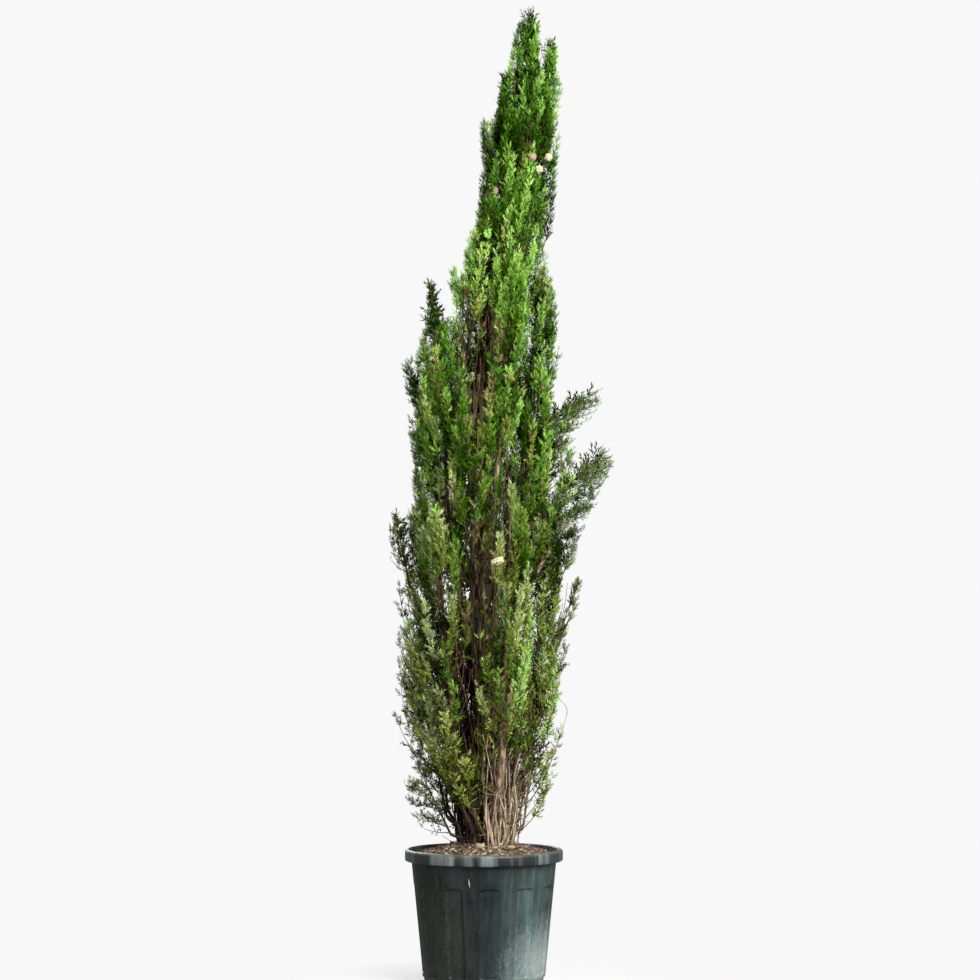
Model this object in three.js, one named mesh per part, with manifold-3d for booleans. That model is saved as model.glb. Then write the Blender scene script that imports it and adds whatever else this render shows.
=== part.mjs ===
// A potted cypress of narrow, upright habit: a fluted nursery pot, its soil, one trunk, the boughs that
// rise beside it, and plumes of foliage that stand on the boughs and the trunk.
// Millimetres, +Z up. The origin is the middle of the pot's flat underside, and the crown leans to +X.

import * as THREE from "three";
import { mergeVertices } from "three/addons/utils/BufferGeometryUtils.js";
import Module from "manifold-3d";

const wasm = await Module();
wasm.setup();

// The pot, a moulded container with a rolled rim, sunk flutes and drain notches round its foot
const POT_HEIGHT = 385;
const POT_FOOT_RADIUS = 176;
const POT_MOUTH_RADIUS = 211;
const POT_WALL = 6;
const POT_FLOOR = 8;
const POT_SIDES = 36;
const FOOT_BAND = { height: 18, setback: 4 };
const RIM = { radius: 230, height: 33, edge: 5, lip: 13 };
const FLUTE = { count: 12, width: 58, depth: 3, bottom: 30, top: 287, turn: 5 };
const DRAIN = { count: 8, width: 42, height: 11, depth: 16, turn: 22.5 };

// The soil, which the pot holds to just under its rim and which rises to the trunk
const SOIL_TOP = 398;
const SOIL_EDGE = 362;
const SOIL_SIDES = 20;
const SOIL_SHOULDER = { radius: 124, height: 384, depth: 14 };
const SOIL_SEAT_RADIUS = 62;
const SOIL_WALL_GAP = 3;
const SEAT_GAP = 0.3;

// The trunk: the points that its middle passes through, from the soil to the foot of the leader
const TRUNK_PATH = [
  [8, 0, SOIL_TOP + SEAT_GAP],
  [8, 0, 560],
  [-2, 6, 1000],
  [4, -4, 1500],
  [26, 4, 1930],
  [92, 0, 2300],
  [116, 1, 2440],
  [124, 2, 2560],
];
const TRUNK = { base: 27, tip: 6, flare: 13, flareHeight: 45, sides: 8, steps: 18 };

// The limbs that carry the plumes: a bough is a limb in a node of its own
const BOUGH = { sides: 5, steps: 5, swell: 1.25, taper: 0.45, bend: 0.55 };
const LIMB = { sides: 4, steps: 3 };

// The stem, core, twigs and sprays of a plume, and the gap that they keep to their neighbours. first, last
// and the rises are shares of the plume's length, root and reach are shares of its radius there, and a
// spray's width and thickness are shares of the plume's greatest radius. A profile turns a blade's outline.
const CLEAR = 1.5;
const TURN_OF_LEAVES = 137.508;
const SPACE = { widest: 0.42, point: 0.6 };
const STEM = { share: 0.74, sides: 4, tip: 2.2 };
const CORE = { sides: 5, first: 0.03, last: 0.985, rings: 3 };
const SPRAY = { first: 0.1, last: 0.74, lowRise: 0.18, highRise: 0.28, root: 0.38, reach: 1, end: 0.97,
  width: 0.56, thick: 0.3, profile: [[0, 0], [1, 0], [0, 1]] };
const TWIG = { first: 0.06, last: 0.72, lowRise: 0.2, highRise: 0.26, root: 0, reach: 0.97, end: 0.98,
  width: 0.75, thick: 0.22, profile: [[0, 0], [0.12, 0], [0.12, 0.34], [1, 0.62], [0, 1]] };
const TOP_SPRAY = { first: 0.68, width: 0.6, thick: 0.3, profile: SPRAY.profile };
const CONE = { radius: 14, reach: 0.9, stalk: 3 };

// Rows of plumes, lowest first. turns are degrees round the trunk from +X, foot and tip are heights,
// footRing and tipRing are how far the plume's ends stand from the trunk's middle, and drop is how far
// below its foot the limb that carries it leaves the trunk. core is the share of the plume's radius that
// is dense: sprays stand out of it. An open plume has none, so its twigs show.
const ROWS = [
  { name: "skirt", turns: [52, 116, 187, 259, 334], foot: 474, tip: 1000, footRing: 118, tipRing: 204,
    radius: 68, core: 0, sprays: 6, drop: 52, limb: 5 },
  { name: "skirt_low_left", turns: [208], foot: 432, tip: 640, footRing: 118, tipRing: 228,
    radius: 44, core: 0, sprays: 6, drop: 22, limb: 4.5 },
  { name: "lower", turns: [16, 82, 154, 226, 292], foot: 660, tip: 1400, footRing: 136, tipRing: 214,
    radius: 90, core: 0.6, sprays: 11, drop: 238, limb: 11, bough: true },
  { name: "twig_right", turns: [2], foot: 960, tip: 1175, footRing: 205, tipRing: 284,
    radius: 28, core: 0, sprays: 6, drop: 330, limb: 4.5 },
  { name: "stray_left", turns: [176], foot: 1190, tip: 1385, footRing: 226, tipRing: 270,
    radius: 30, core: 0.5, sprays: 6, drop: 330, limb: 4.5 },
  { name: "middle", turns: [50, 121, 190, 259, 326], foot: 1130, tip: 1790, footRing: 128, tipRing: 172,
    radius: 86, core: 0.62, sprays: 11, drop: 330, limb: 10, bough: true },
  { name: "fan_low_right", turns: [352], foot: 1255, tip: 1545, footRing: 196, tipRing: 366,
    radius: 48, core: 0.5, sprays: 8, drop: 400, limb: 7, bough: true },
  { name: "fan_high_right", turns: [10], foot: 1420, tip: 1735, footRing: 178, tipRing: 340,
    radius: 46, core: 0.5, sprays: 8, drop: 440, limb: 7, bough: true },
  { name: "shoulder", turns: [156, 225], foot: 1440, tip: 1965, footRing: 124, tipRing: 170,
    radius: 84, core: 0.62, sprays: 11, drop: 330, limb: 9, bough: true },
  { name: "upper", turns: [8, 86, 292], foot: 1490, tip: 2090, footRing: 112, tipRing: 132,
    radius: 82, core: 0.62, sprays: 11, drop: 330, limb: 9, bough: true },
  { name: "outlier_left", turns: [176], foot: 1870, tip: 2062, footRing: 168, tipRing: 190,
    radius: 26, core: 0.5, sprays: 6, drop: 300, limb: 4 },
  { name: "collar_left", turns: [204], foot: 1720, tip: 2330, footRing: 86, tipRing: 78,
    radius: 66, core: 0.5, sprays: 11, drop: 120, limb: 6 },
  { name: "neck", turns: [24, 114, 294], foot: 1850, tip: 2400, footRing: 64, tipRing: 68,
    radius: 58, core: 0.5, sprays: 10, drop: 110, limb: 6 },
  { name: "spire", turns: [-21, 69, 159, 249], foot: 2170, tip: 2620, footRing: 62, tipRing: 66,
    radius: 46, core: 0.54, sprays: 9, drop: 95, limb: 5 },
  { name: "tip", turns: [114, 204, 294], foot: 2440, tip: 2715, footRing: 50, tipRing: 62,
    radius: 37, core: 0.54, sprays: 8, drop: 75, limb: 4 },
  { name: "tip_right", turns: [16], foot: 2460, tip: 2795, footRing: 52, tipRing: 78,
    radius: 37, core: 0.54, sprays: 8, drop: 75, limb: 4 },
  { name: "leader", turns: [0], foot: 2560, tip: 2880, footRing: 0, tipRing: 21,
    radius: 32, core: 0.54, sprays: 8, drop: 0, limb: 5.5 },
];

// How far the plumes of a row stray from its sizes, and the steps of the even scatter that decides it
const SEED = 0.2;
const STRAY = { turn: 4, foot: 20, tip: 45, ring: 8, radius: 0.07 };
const STEPS = { turn: 0.618, foot: 0.7549, tip: 0.5698, ring: 0.8192, radius: 0.6711 };

// Ripe cones that show on the outside: the plume, the share of its length and the degrees round it
const CONES = [
  { plume: "spire_1", share: 0.58, turn: 240 },
  { plume: "spire_1", share: 0.6, turn: 315 },
  { plume: "spire_1", share: 0.5, turn: 280 },
  { plume: "spire_4", share: 0.4, turn: 215 },
  { plume: "spire_3", share: 0.33, turn: 255 },
  { plume: "spire_2", share: 0.45, turn: 70 },
  { plume: "neck_2", share: 0.55, turn: 80 },
  { plume: "collar_left", share: 0.14, turn: 322 },
  { plume: "upper_3", share: 0.46, turn: 290 },
  { plume: "lower_5", share: 0.74, turn: 242 },
];

const MATERIALS = {
  pot: new THREE.MeshStandardMaterial({ color: 0x3a4341, roughness: 0.55, metalness: 0 }),
  soil: new THREE.MeshStandardMaterial({ color: 0x7a6450, roughness: 0.95, metalness: 0 }),
  bark: new THREE.MeshStandardMaterial({ color: 0x6a5444, roughness: 0.9, metalness: 0 }),
  foliage: new THREE.MeshStandardMaterial({ color: 0x4f7a2a, roughness: 0.7, metalness: 0 }),
};

const radians = THREE.MathUtils.degToRad;

// Evenly scattered numbers from -1 to 1, the same on every run.
function scatter(number, step) {
  return 2 * ((SEED + number * step) % 1) - 1;
}

// A closed geometry as a solid that can be joined and cut.
function solid(geometry) {
  geometry.deleteAttribute("normal");
  geometry.deleteAttribute("uv");
  const merged = mergeVertices(geometry, 1e-4);
  return new wasm.Manifold(
    new wasm.Mesh({
      numProp: 3,
      vertProperties: new Float32Array(merged.attributes.position.array),
      triVerts: new Uint32Array(merged.index.array),
    }),
  );
}

// The largest body of a solid, without loose scraps or sealed hollows.
function mainBody(made) {
  return made.decompose().reduce((best, next) => (next.volume() > best.volume() ? next : best));
}

function meshOf(made, name, material) {
  const { numVert, numProp, vertProperties, triVerts } = made.getMesh();
  const spots = new Float32Array(numVert * 3);
  for (let i = 0; i < numVert; i++) {
    spots.set(vertProperties.subarray(i * numProp, i * numProp + 3), i * 3);
  }
  const geometry = new THREE.BufferGeometry();
  geometry.setAttribute("position", new THREE.BufferAttribute(spots, 3));
  geometry.setIndex(new THREE.BufferAttribute(triVerts, 1));
  geometry.computeVertexNormals();
  const mesh = new THREE.Mesh(geometry, material);
  mesh.name = name;
  return mesh;
}

// A profile of [radius, height] points turned about Z.
function turned(profile, sides) {
  const points = profile.map(([radius, height]) => new THREE.Vector2(radius, height));
  return solid(new THREE.LatheGeometry(points, sides).rotateX(Math.PI / 2));
}

// A round limb along a curve, with its radius given at each share of its length.
function limb(curve, radiusAt, sides, steps) {
  const tube = new THREE.CylinderGeometry(1, 1, 1, sides, steps);
  const frames = curve.computeFrenetFrames(steps, false);
  const spots = tube.attributes.position;
  for (let i = 0; i < spots.count; i++) {
    const step = Math.round((spots.getY(i) + 0.5) * steps);
    const radius = radiusAt(step / steps);
    const spot = curve
      .getPointAt(step / steps)
      .addScaledVector(frames.normals[step], spots.getX(i) * radius)
      .addScaledVector(frames.binormals[step], -spots.getZ(i) * radius);
    spots.setXYZ(i, spot.x, spot.y, spot.z);
  }
  return solid(tube);
}

function straightLimb(from, to, footRadius, tipRadius, sides) {
  const taper = (share) => THREE.MathUtils.lerp(footRadius, tipRadius, share);
  return limb(new THREE.LineCurve3(from, to), taper, sides, 1);
}

// Wall radius of the pot at a height, under the rim.
function potRadius(height) {
  return THREE.MathUtils.mapLinear(height, 0, POT_HEIGHT - RIM.height, POT_FOOT_RADIUS, POT_MOUTH_RADIUS);
}

function makePot() {
  const under = POT_HEIGHT - RIM.height;
  const body = turned(
    [
      [0, 0],
      [potRadius(0) - FOOT_BAND.setback, 0],
      [potRadius(FOOT_BAND.height) - FOOT_BAND.setback, FOOT_BAND.height],
      [potRadius(FOOT_BAND.height), FOOT_BAND.height + FOOT_BAND.setback],
      [POT_MOUTH_RADIUS, under],
      [RIM.radius, under],
      [RIM.radius, POT_HEIGHT - RIM.edge],
      [RIM.radius - RIM.edge, POT_HEIGHT],
      [RIM.radius - RIM.lip, POT_HEIGHT],
      [POT_MOUTH_RADIUS - POT_WALL, under],
      [POT_FOOT_RADIUS - POT_WALL, POT_FLOOR],
      [0, POT_FLOOR],
    ],
    POT_SIDES,
  );
  return cutDrains(cutFlutes(body));
}

// Flutes are sunk into the wall, which they follow as it widens.
function cutFlutes(body) {
  const middle = (FLUTE.bottom + FLUTE.top) / 2;
  const slope = Math.atan2(POT_MOUTH_RADIUS - POT_FOOT_RADIUS, POT_HEIGHT - RIM.height);
  for (let i = 0; i < FLUTE.count; i++) {
    const cutter = new THREE.BoxGeometry(FLUTE.depth * 2, FLUTE.width, FLUTE.top - FLUTE.bottom)
      .rotateY(slope)
      .translate(potRadius(middle) * Math.cos(Math.PI / POT_SIDES), 0, middle)
      .rotateZ(radians(FLUTE.turn + (360 / FLUTE.count) * i));
    body = body.subtract(solid(cutter));
  }
  return body;
}

// Drain notches open the foot band from the side and leave the middle of the underside whole.
function cutDrains(body) {
  for (let i = 0; i < DRAIN.count; i++) {
    const cutter = new THREE.BoxGeometry(DRAIN.depth * 2, DRAIN.width, DRAIN.height * 2)
      .translate(POT_FOOT_RADIUS, 0, 0)
      .rotateZ(radians(DRAIN.turn + (360 / DRAIN.count) * i));
    body = body.subtract(solid(cutter));
  }
  return body;
}

function makeSoil() {
  const bottom = POT_FLOOR + SEAT_GAP;
  const edgeRadius = POT_MOUTH_RADIUS - POT_WALL - SOIL_WALL_GAP;
  return turned(
    [
      [0, bottom],
      [POT_FOOT_RADIUS - POT_WALL - SOIL_WALL_GAP, bottom],
      [edgeRadius, SOIL_EDGE - SOIL_SHOULDER.depth],
      [edgeRadius, SOIL_EDGE],
      [SOIL_SHOULDER.radius, SOIL_SHOULDER.height],
      [SOIL_SEAT_RADIUS, SOIL_TOP],
      [0, SOIL_TOP],
    ],
    SOIL_SIDES,
  );
}

const trunkCurve = new THREE.CatmullRomCurve3(
  TRUNK_PATH.map((point) => new THREE.Vector3(...point)),
  false,
  "catmullrom",
);

// The trunk's radius, grown by a gap for what has to stay clear of it.
function trunkRadius(share, gap = 0) {
  const rise = share * trunkCurve.getLength();
  const flare = TRUNK.flare * Math.exp(-rise / TRUNK.flareHeight);
  return THREE.MathUtils.lerp(TRUNK.base, TRUNK.tip, share) + flare + gap;
}

// The point of the trunk's middle at a height.
function trunkAt(height) {
  let low = 0;
  let high = 1;
  for (let halvings = 0; halvings < 40; halvings++) {
    const middle = (low + high) / 2;
    if (trunkCurve.getPointAt(middle).z < height) low = middle;
    else high = middle;
  }
  return trunkCurve.getPointAt(low);
}

// The level direction of a turn in degrees from +X.
function sideways(turn) {
  return new THREE.Vector3(Math.cos(radians(turn)), Math.sin(radians(turn)), 0);
}

// A point that stands a distance from the trunk's middle, at a height and a turn in degrees.
function beside(height, ring, turn) {
  const spot = trunkAt(height);
  spot.z = height;
  return spot.addScaledVector(sideways(turn), ring);
}

// Works out each plume's ends, radius and axis from its row. Rows of one plume keep their exact places.
function layOutPlumes() {
  const plumes = [];
  for (const row of ROWS) {
    row.turns.forEach((rowTurn, i) => {
      const number = plumes.length;
      const alone = row.turns.length === 1;
      const stray = (kind) => (alone ? 0 : STRAY[kind] * scatter(number, STEPS[kind]));
      const turn = rowTurn + stray("turn");
      const foot = beside(row.foot + stray("foot"), row.footRing, turn);
      const tip = beside(row.tip + stray("tip"), row.tipRing + stray("ring"), turn);
      const radius = row.radius * (1 + stray("radius"));
      const axis = tip.clone().sub(foot).normalize();
      const name = alone ? row.name : `${row.name}_${i + 1}`;
      plumes.push({ ...row, name, turn, foot, tip, radius, axis, length: foot.distanceTo(tip) });
    });
  }
  return plumes;
}

// The curve of the limb that carries a plume, from the trunk's middle to the plume's foot.
function carrierCurve(plume) {
  const leave = trunkAt(plume.foot.z - plume.drop);
  const bend = plume.foot.clone().addScaledVector(plume.axis, -BOUGH.bend * plume.drop);
  return new THREE.QuadraticBezierCurve3(leave, bend, plume.foot);
}

function makeCarrier(plume) {
  const taper = (share) => plume.limb * (BOUGH.swell - BOUGH.taper * share);
  const { sides, steps } = plume.bough ? BOUGH : LIMB;
  return limb(carrierCurve(plume), taper, sides, steps);
}

// How wide a plume's own space is at a share of its length: narrow at the foot, pointed at the tip.
function spaceRadius(plume, share) {
  const { widest, point } = SPACE;
  const swell = Math.pow(Math.min(share, 1) / widest, point);
  const narrow = Math.pow(Math.max(1 - share, 0) / (1 - widest), point * (1 / widest - 1));
  return plume.radius * swell * narrow;
}

// A point in a plume, at a share of its length and a share of its space's radius, on the side of a turn.
function inPlume(plume, share, reach, turn) {
  const side = sideways(turn);
  side.addScaledVector(plume.axis, -side.dot(plume.axis)).normalize();
  return plume.foot
    .clone()
    .addScaledVector(plume.axis, share * plume.length)
    .addScaledVector(side, reach * spaceRadius(plume, share));
}

// The stem of a plume, with the limb that carries it where that is no bough, and the core of a dense one.
function makeFrame(plume) {
  const ownLimb = plume.drop && !plume.bough;
  const foot = plume.foot.clone().addScaledVector(plume.axis, ownLimb ? -STEM.tip : SEAT_GAP);
  const footRadius = plume.limb * (BOUGH.swell - BOUGH.taper);
  let frame = straightLimb(foot, inPlume(plume, STEM.share, 0, 0), footRadius, STEM.tip, STEM.sides);
  if (ownLimb) frame = frame.add(makeCarrier(plume));
  if (plume.core) frame = frame.add(makeCore(plume));
  return frame;
}

function makeCore(plume) {
  const spine = new THREE.LineCurve3(inPlume(plume, CORE.first, 0, 0), inPlume(plume, CORE.last, 0, 0));
  const swell = (share) => {
    const along = THREE.MathUtils.lerp(CORE.first, CORE.last, share);
    return plume.core * spaceRadius(plume, along);
  };
  return limb(spine, swell, CORE.sides, CORE.rings);
}

// A pointed blade from its root to its tip: a ridged three-sided piece, flat to the way out of its plume.
// A three-sided turning of radius 1 is the square root of 3 wide and 1.5 deep.
function makeBlade(plume, root, tip, outward, { width, thick, profile }) {
  const points = profile.map(([radius, rise]) => new THREE.Vector2(radius, rise));
  const blade = new THREE.LatheGeometry(points, 3);
  blade.scale((width * plume.radius) / Math.sqrt(3), root.distanceTo(tip), (thick * plume.radius) / 1.5);
  const along = tip.clone().sub(root).normalize();
  const across = new THREE.Vector3().crossVectors(along, outward).normalize();
  const facing = new THREE.Vector3().crossVectors(across, along);
  return solid(blade.applyMatrix4(new THREE.Matrix4().makeBasis(across, along, facing).setPosition(root)));
}

// The way out of a plume's stem on the side of a turn.
function outwards(plume, turn) {
  return inPlume(plume, SPACE.widest, 1, turn).sub(inPlume(plume, SPACE.widest, 0, turn));
}

// Spray by number, each a fixed turn on from the last: rooted in a dense plume's core, or on a twig of its
// own in an open plume, with its tip at the edge of the plume's space.
function makeSpray(plume, number) {
  const rule = plume.core ? SPRAY : TWIG;
  const step = (number + 0.5) / plume.sprays;
  const share = THREE.MathUtils.lerp(rule.first, rule.last, step);
  const rise = THREE.MathUtils.lerp(rule.lowRise, rule.highRise, Math.sqrt(step));
  const turn = plume.turn + number * TURN_OF_LEAVES;
  const root = inPlume(plume, share, rule.root, turn);
  const tip = inPlume(plume, Math.min(share + rise, rule.end), rule.reach, turn);
  return makeBlade(plume, root, tip, outwards(plume, turn), rule);
}

// The spray that ends the plume's stem.
function makeTopSpray(plume) {
  const root = inPlume(plume, TOP_SPRAY.first, 0, plume.turn);
  return makeBlade(plume, root, plume.tip, outwards(plume, plume.turn), TOP_SPRAY);
}

function boxesMeet(a, b, gap) {
  const one = a.boundingBox();
  const two = b.boundingBox();
  return [0, 1, 2].every((k) => one.min[k] - gap < two.max[k] && two.min[k] - gap < one.max[k]);
}

function isClear(piece, others) {
  return others.every((other) => !boxesMeet(piece, other, CLEAR) || piece.minGap(other, CLEAR) >= CLEAR);
}

// A plume's cones, each on a stalk from the stem.
function makeCones(plume) {
  return CONES.filter((cone) => cone.plume === plume.name).map(({ share, turn }) => {
    const spot = inPlume(plume, share, CONE.reach, turn);
    const stalk = straightLimb(inPlume(plume, share, 0, turn), spot, CONE.stalk, CONE.stalk, 3);
    return solid(new THREE.IcosahedronGeometry(CONE.radius).translate(spot.x, spot.y, spot.z)).add(stalk);
  });
}

// Puts together the plant. Each plume's sprays skip what would touch a limb or another plume.
function makePlant() {
  const trunk = limb(trunkCurve, (share) => trunkRadius(share), TRUNK.sides, TRUNK.steps);
  const trunkSpace = limb(trunkCurve, (share) => trunkRadius(share, SEAT_GAP), TRUNK.sides, TRUNK.steps);
  const plumes = layOutPlumes();
  const boughs = new Map();
  for (const plume of plumes.filter((each) => each.bough)) {
    boughs.set(`${plume.name}_bough`, mainBody(makeCarrier(plume).subtract(trunkSpace)));
  }
  const limbs = [trunk, ...boughs.values()];
  const masses = new Map();
  for (const plume of plumes) {
    masses.set(plume.name, mainBody(makeFrame(plume).subtract(trunkSpace)));
  }
  for (const plume of plumes) {
    const neighbours = [...masses].filter(([name]) => name !== plume.name).map(([, mass]) => mass);
    const pieces = [makeTopSpray(plume), ...makeCones(plume)];
    for (let i = 0; i < plume.sprays; i++) pieces.push(makeSpray(plume, i));
    const grown = pieces.filter((piece) => isClear(piece, [...limbs, ...neighbours]));
    const fused = grown.reduce((sum, piece) => sum.add(piece), masses.get(plume.name));
    masses.set(plume.name, mainBody(fused));
  }
  return { trunk, boughs, masses };
}

const cypress = new THREE.Group();
cypress.name = "potted_cypress";
const plant = makePlant();
cypress.add(meshOf(makePot(), "pot", MATERIALS.pot));
cypress.add(meshOf(makeSoil(), "soil", MATERIALS.soil));
cypress.add(meshOf(plant.trunk, "trunk", MATERIALS.bark));
for (const [name, bough] of plant.boughs) cypress.add(meshOf(bough, name, MATERIALS.bark));
for (const [name, mass] of plant.masses) cypress.add(meshOf(mass, `${name}_plume`, MATERIALS.foliage));

export default cypress;
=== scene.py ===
"""A potted cypress of narrow, upright habit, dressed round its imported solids: a dusty nursery pot, bark
chips, fibrous stems, and plumes that are carried on to fine scale-leaved sprays.
Metres, +Z up. The viewer stands on the -Y side, and the crown leans to +X.
A pair such as lengths holds the least and the greatest factor that chance gives."""

import math

import bmesh
import bpy
import numpy as np
from mathutils import Matrix, Vector, noise


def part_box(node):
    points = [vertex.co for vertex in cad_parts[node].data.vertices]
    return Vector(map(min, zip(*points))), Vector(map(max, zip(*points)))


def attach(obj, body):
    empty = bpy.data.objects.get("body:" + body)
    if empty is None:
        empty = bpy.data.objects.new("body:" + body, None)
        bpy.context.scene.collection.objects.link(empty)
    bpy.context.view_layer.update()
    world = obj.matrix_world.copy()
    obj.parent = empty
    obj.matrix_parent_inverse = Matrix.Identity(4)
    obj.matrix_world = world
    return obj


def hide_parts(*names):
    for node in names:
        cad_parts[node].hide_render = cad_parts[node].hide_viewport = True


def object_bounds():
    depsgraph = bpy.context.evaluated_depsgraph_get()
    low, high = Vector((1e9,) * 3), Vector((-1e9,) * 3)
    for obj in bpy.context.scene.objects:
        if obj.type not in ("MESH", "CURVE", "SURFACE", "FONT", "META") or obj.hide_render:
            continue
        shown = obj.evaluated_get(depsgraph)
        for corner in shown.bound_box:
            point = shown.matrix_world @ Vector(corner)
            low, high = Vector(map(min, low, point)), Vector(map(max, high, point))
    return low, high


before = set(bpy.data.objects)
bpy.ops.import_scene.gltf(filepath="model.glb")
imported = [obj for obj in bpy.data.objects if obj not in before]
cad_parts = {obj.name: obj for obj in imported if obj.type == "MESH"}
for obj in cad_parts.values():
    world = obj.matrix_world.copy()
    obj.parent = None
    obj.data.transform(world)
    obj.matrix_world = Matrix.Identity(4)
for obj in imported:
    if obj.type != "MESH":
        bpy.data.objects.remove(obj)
CAD_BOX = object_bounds()
BODY = "root"

# The pot, as the frame holds it: a rolled rim, sunk flutes, and drain notches round the foot
POT_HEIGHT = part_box("pot")[1].z
RIM_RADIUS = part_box("pot")[1].x
FOOT_RADIUS = 0.176
MOUTH_RADIUS = 0.211
WALL = 0.006
FLOOR = 0.008
FOOT_BAND = dict(height=0.018, setback=0.004, chamfer=0.002)
RIM = dict(height=0.033, top_round=0.009, low_round=0.004, lip=0.013, top_steps=8, low_steps=4)
FLUTE = dict(
    count=12, width=0.058, depth=0.0055, bottom=0.030, top=0.287, turn=5, edge=0.0018, side=0.009,
    corner=0.45)
DRAIN = dict(count=8, width=0.042, height=0.011, depth=0.016, turn=22.5)
POT_STEPS = 440
POT_SHARP = 50
WALL_RINGS = 10
LEDGE_RINGS = 14
LEDGE_OVER = 0.001

# The pot's finish: the grain of its marks, where each kind of mark and of painted light lies, and the
# colours
POT_GRAIN = dict(
    blotch=dict(grain=(0.07, 0.07, 0.12), detail=6),
    runs=dict(grain=(0.016, 0.016, 0.25), detail=4),
    grit=dict(grain=(0.009, 0.009, 0.014), detail=6, roughness=0.75),
    # the grain of the painted reflection bands on the rim's front
    rim_reflection_grain=dict(grain=(0.050, 0.050, 0.6), detail=5, roughness=0.5),
)
POT_MARKS = dict(
    # painted light, which draws the right side lighter
    painted_side_light=dict(centre=(0.20, -0.09, 0.20), radii=(0.21, 0.25, 0.36)),
    stain=dict(centre=(-0.17, -0.10, 0.13), radii=(0.19, 0.22, 0.26)),
    specks=dict(centre=(-0.08, -0.16, 0.02), radii=(0.22, 0.25, 0.22)),
    dust=dict(centre=(0.195, -0.10, 0.060), radii=(0.235, 0.26, 0.210)),
    # where the rim's painted reflections show: its front
    rim_reflection_spot=dict(centre=(0.01, -0.23, 0.37), radii=(0.28, 0.20, 0.30)),
    scuff=dict(centre=(-0.041, -0.205, 0.305), radii=(0.0026, 0.03, 0.020), turn=(0, -0.14, 0)),
)
POT_COLOURS = dict(
    # haze is painted light on the right side, and streak the run marks, drawn strongest where that light
    # falls
    clean="#1a201e", deep="#010302", faded="#1b2625", painted_side_light="#394948", streak="#566563", stain="#2b2b1f",
    # rim_reflection_dark and rim_reflection_pale are the dark and bright bands of a painted reflection on
    # the rim's front, and top is a paler top lip, partly dust and partly painted light from above
    speck="#070604", dust="#93a09b", rim="#343d3a", rim_reflection_dark="#050908", rim_reflection_pale="#95a29f", top="#4d524a",
    scuff="#a9ada3")

# How the pot's marks and its painted light are laid over each other: shares that a pattern or mark is
# stretched to, with the ends that it runs between and then those that it is given, sums and products of
# these, and the layers of colour
RIM_FOOT = POT_HEIGHT - RIM["height"]
POT_RANGES = dict(
    fade=("blotch", 0.32, 0.68),
    # painted light on the right side, in blotches, and the run marks drawn strongest within it
    side_lit=("painted_side_light", 0.05, 0.6),
    side_light_blotch=("blotch", 0.2, 0.6),
    in_side_light=("side_lit", 0, 1, 0.08, 0.5),
    long_runs=("runs", 0.48, 0.72),
    stained=("stain", 0, 0.6),
    stain_grit=("grit", 0.4, 0.62),
    coarse_grit=("grit", 0.6, 0.66),
    dust_grit=("grit", 0.36, 0.64, 0, 0.45),
    dust_runs=("runs", 0.3, 0.7, 0, 0.16),
    near_dust=("dust", 0, 0.8),
    # the bands of the rim's painted reflection, and the share of the front that they cover
    rim_reflection_bands=("rim_reflection_grain", 0.47, 0.72),
    rim_reflection_share=("rim_reflection_spot", 0.1, 0.6, 0.3, 0.95),
    on_rim=("height", RIM_FOOT - 0.001, RIM_FOOT + 0.002, 0, 0.9),
    faces_up=("up", 0.1, 0.9, 0, 0.75),
    near_top=("height", 0.30, 0.31),
    scuffed=("scuff", 0.2, 0.7, 0, 0.75),
    roughness=("grit", 0.3, 0.7, 0.36, 0.56),
)
POT_PAIRS = dict(
    # the painted light's blotches, and run marks that show most where it falls
    side_light_spots=("side_lit", "MULTIPLY", "side_light_blotch"),
    run_marks_by_side_light=("in_side_light", "MULTIPLY", "long_runs"),
    stain_spots=("stained", "MULTIPLY", "stain_grit"),
    speck_spots=("coarse_grit", "MULTIPLY", "specks"),
    grains=("dust_grit", "ADD", "dust_runs"),
    thin_dust=("grains", "MULTIPLY", "near_dust"),
    thick_dust=("dust", "MULTIPLY", "dust"),
    all_dust=("thick_dust", "ADD", "thin_dust"),
    # the top lip's upward faces, drawn paler: partly dust and partly painted light from above
    on_top=("faces_up", "MULTIPLY", "near_top"),
)
DUSTING = (0.14, 1.1, 0, 0.8)
POT_LAYERS = dict(
    fade="faded", side_light_spots="painted_side_light", run_marks_by_side_light="streak", stain_spots="stain", speck_spots="speck",
    dusting="dust", on_rim="rim_with_reflections", on_top="top", scuffed="scuff")

# The soil, the bark chips that lie on it, and a few large ones in front. Each colour of chips comes with its
# share of them.
SOIL_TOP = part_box("soil")[1].z
SOIL_EDGE = 0.362
SOIL_EDGE_DEPTH = 0.014
SOIL_SHOULDER = dict(radius=0.124, height=0.384)
SOIL_SEAT_RADIUS = 0.062
SOIL_EDGE_RADIUS = 0.202
SOIL_FOOT_RADIUS = 0.167
SOIL_MESH = dict(rings=40, steps=120)
SOIL_LUMPS = dict(height=0.004, pitch=45)
CRUMBS = dict(size=0.009, dark="#2b2119", pale="#5f4f3e")
SEAT_GAP = 0.0003
CHIP = dict(
    count=3000, length=0.0115, width=0.0068, thick=0.0035, sizes=(0.5, 1.5), area=(0.035, 1), margin=0.006,
    lift=0.006, lean=0.35, roll=0.3, kinds=5, knock=0.28)
LARGE_CHIP = dict(count=6, sizes=(2, 3), area=(0.035, 0.25), turn=-1.4, stray=0.5)
CHIP_COLOURS = dict(
    chip_dark=("#3b3026", 0.24), chip_brown=("#524536", 0.28), chip_pink=("#6a5344", 0.2),
    chip_tan=("#6e5e4a", 0.17), chip_pale=("#93836a", 0.11))

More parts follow.
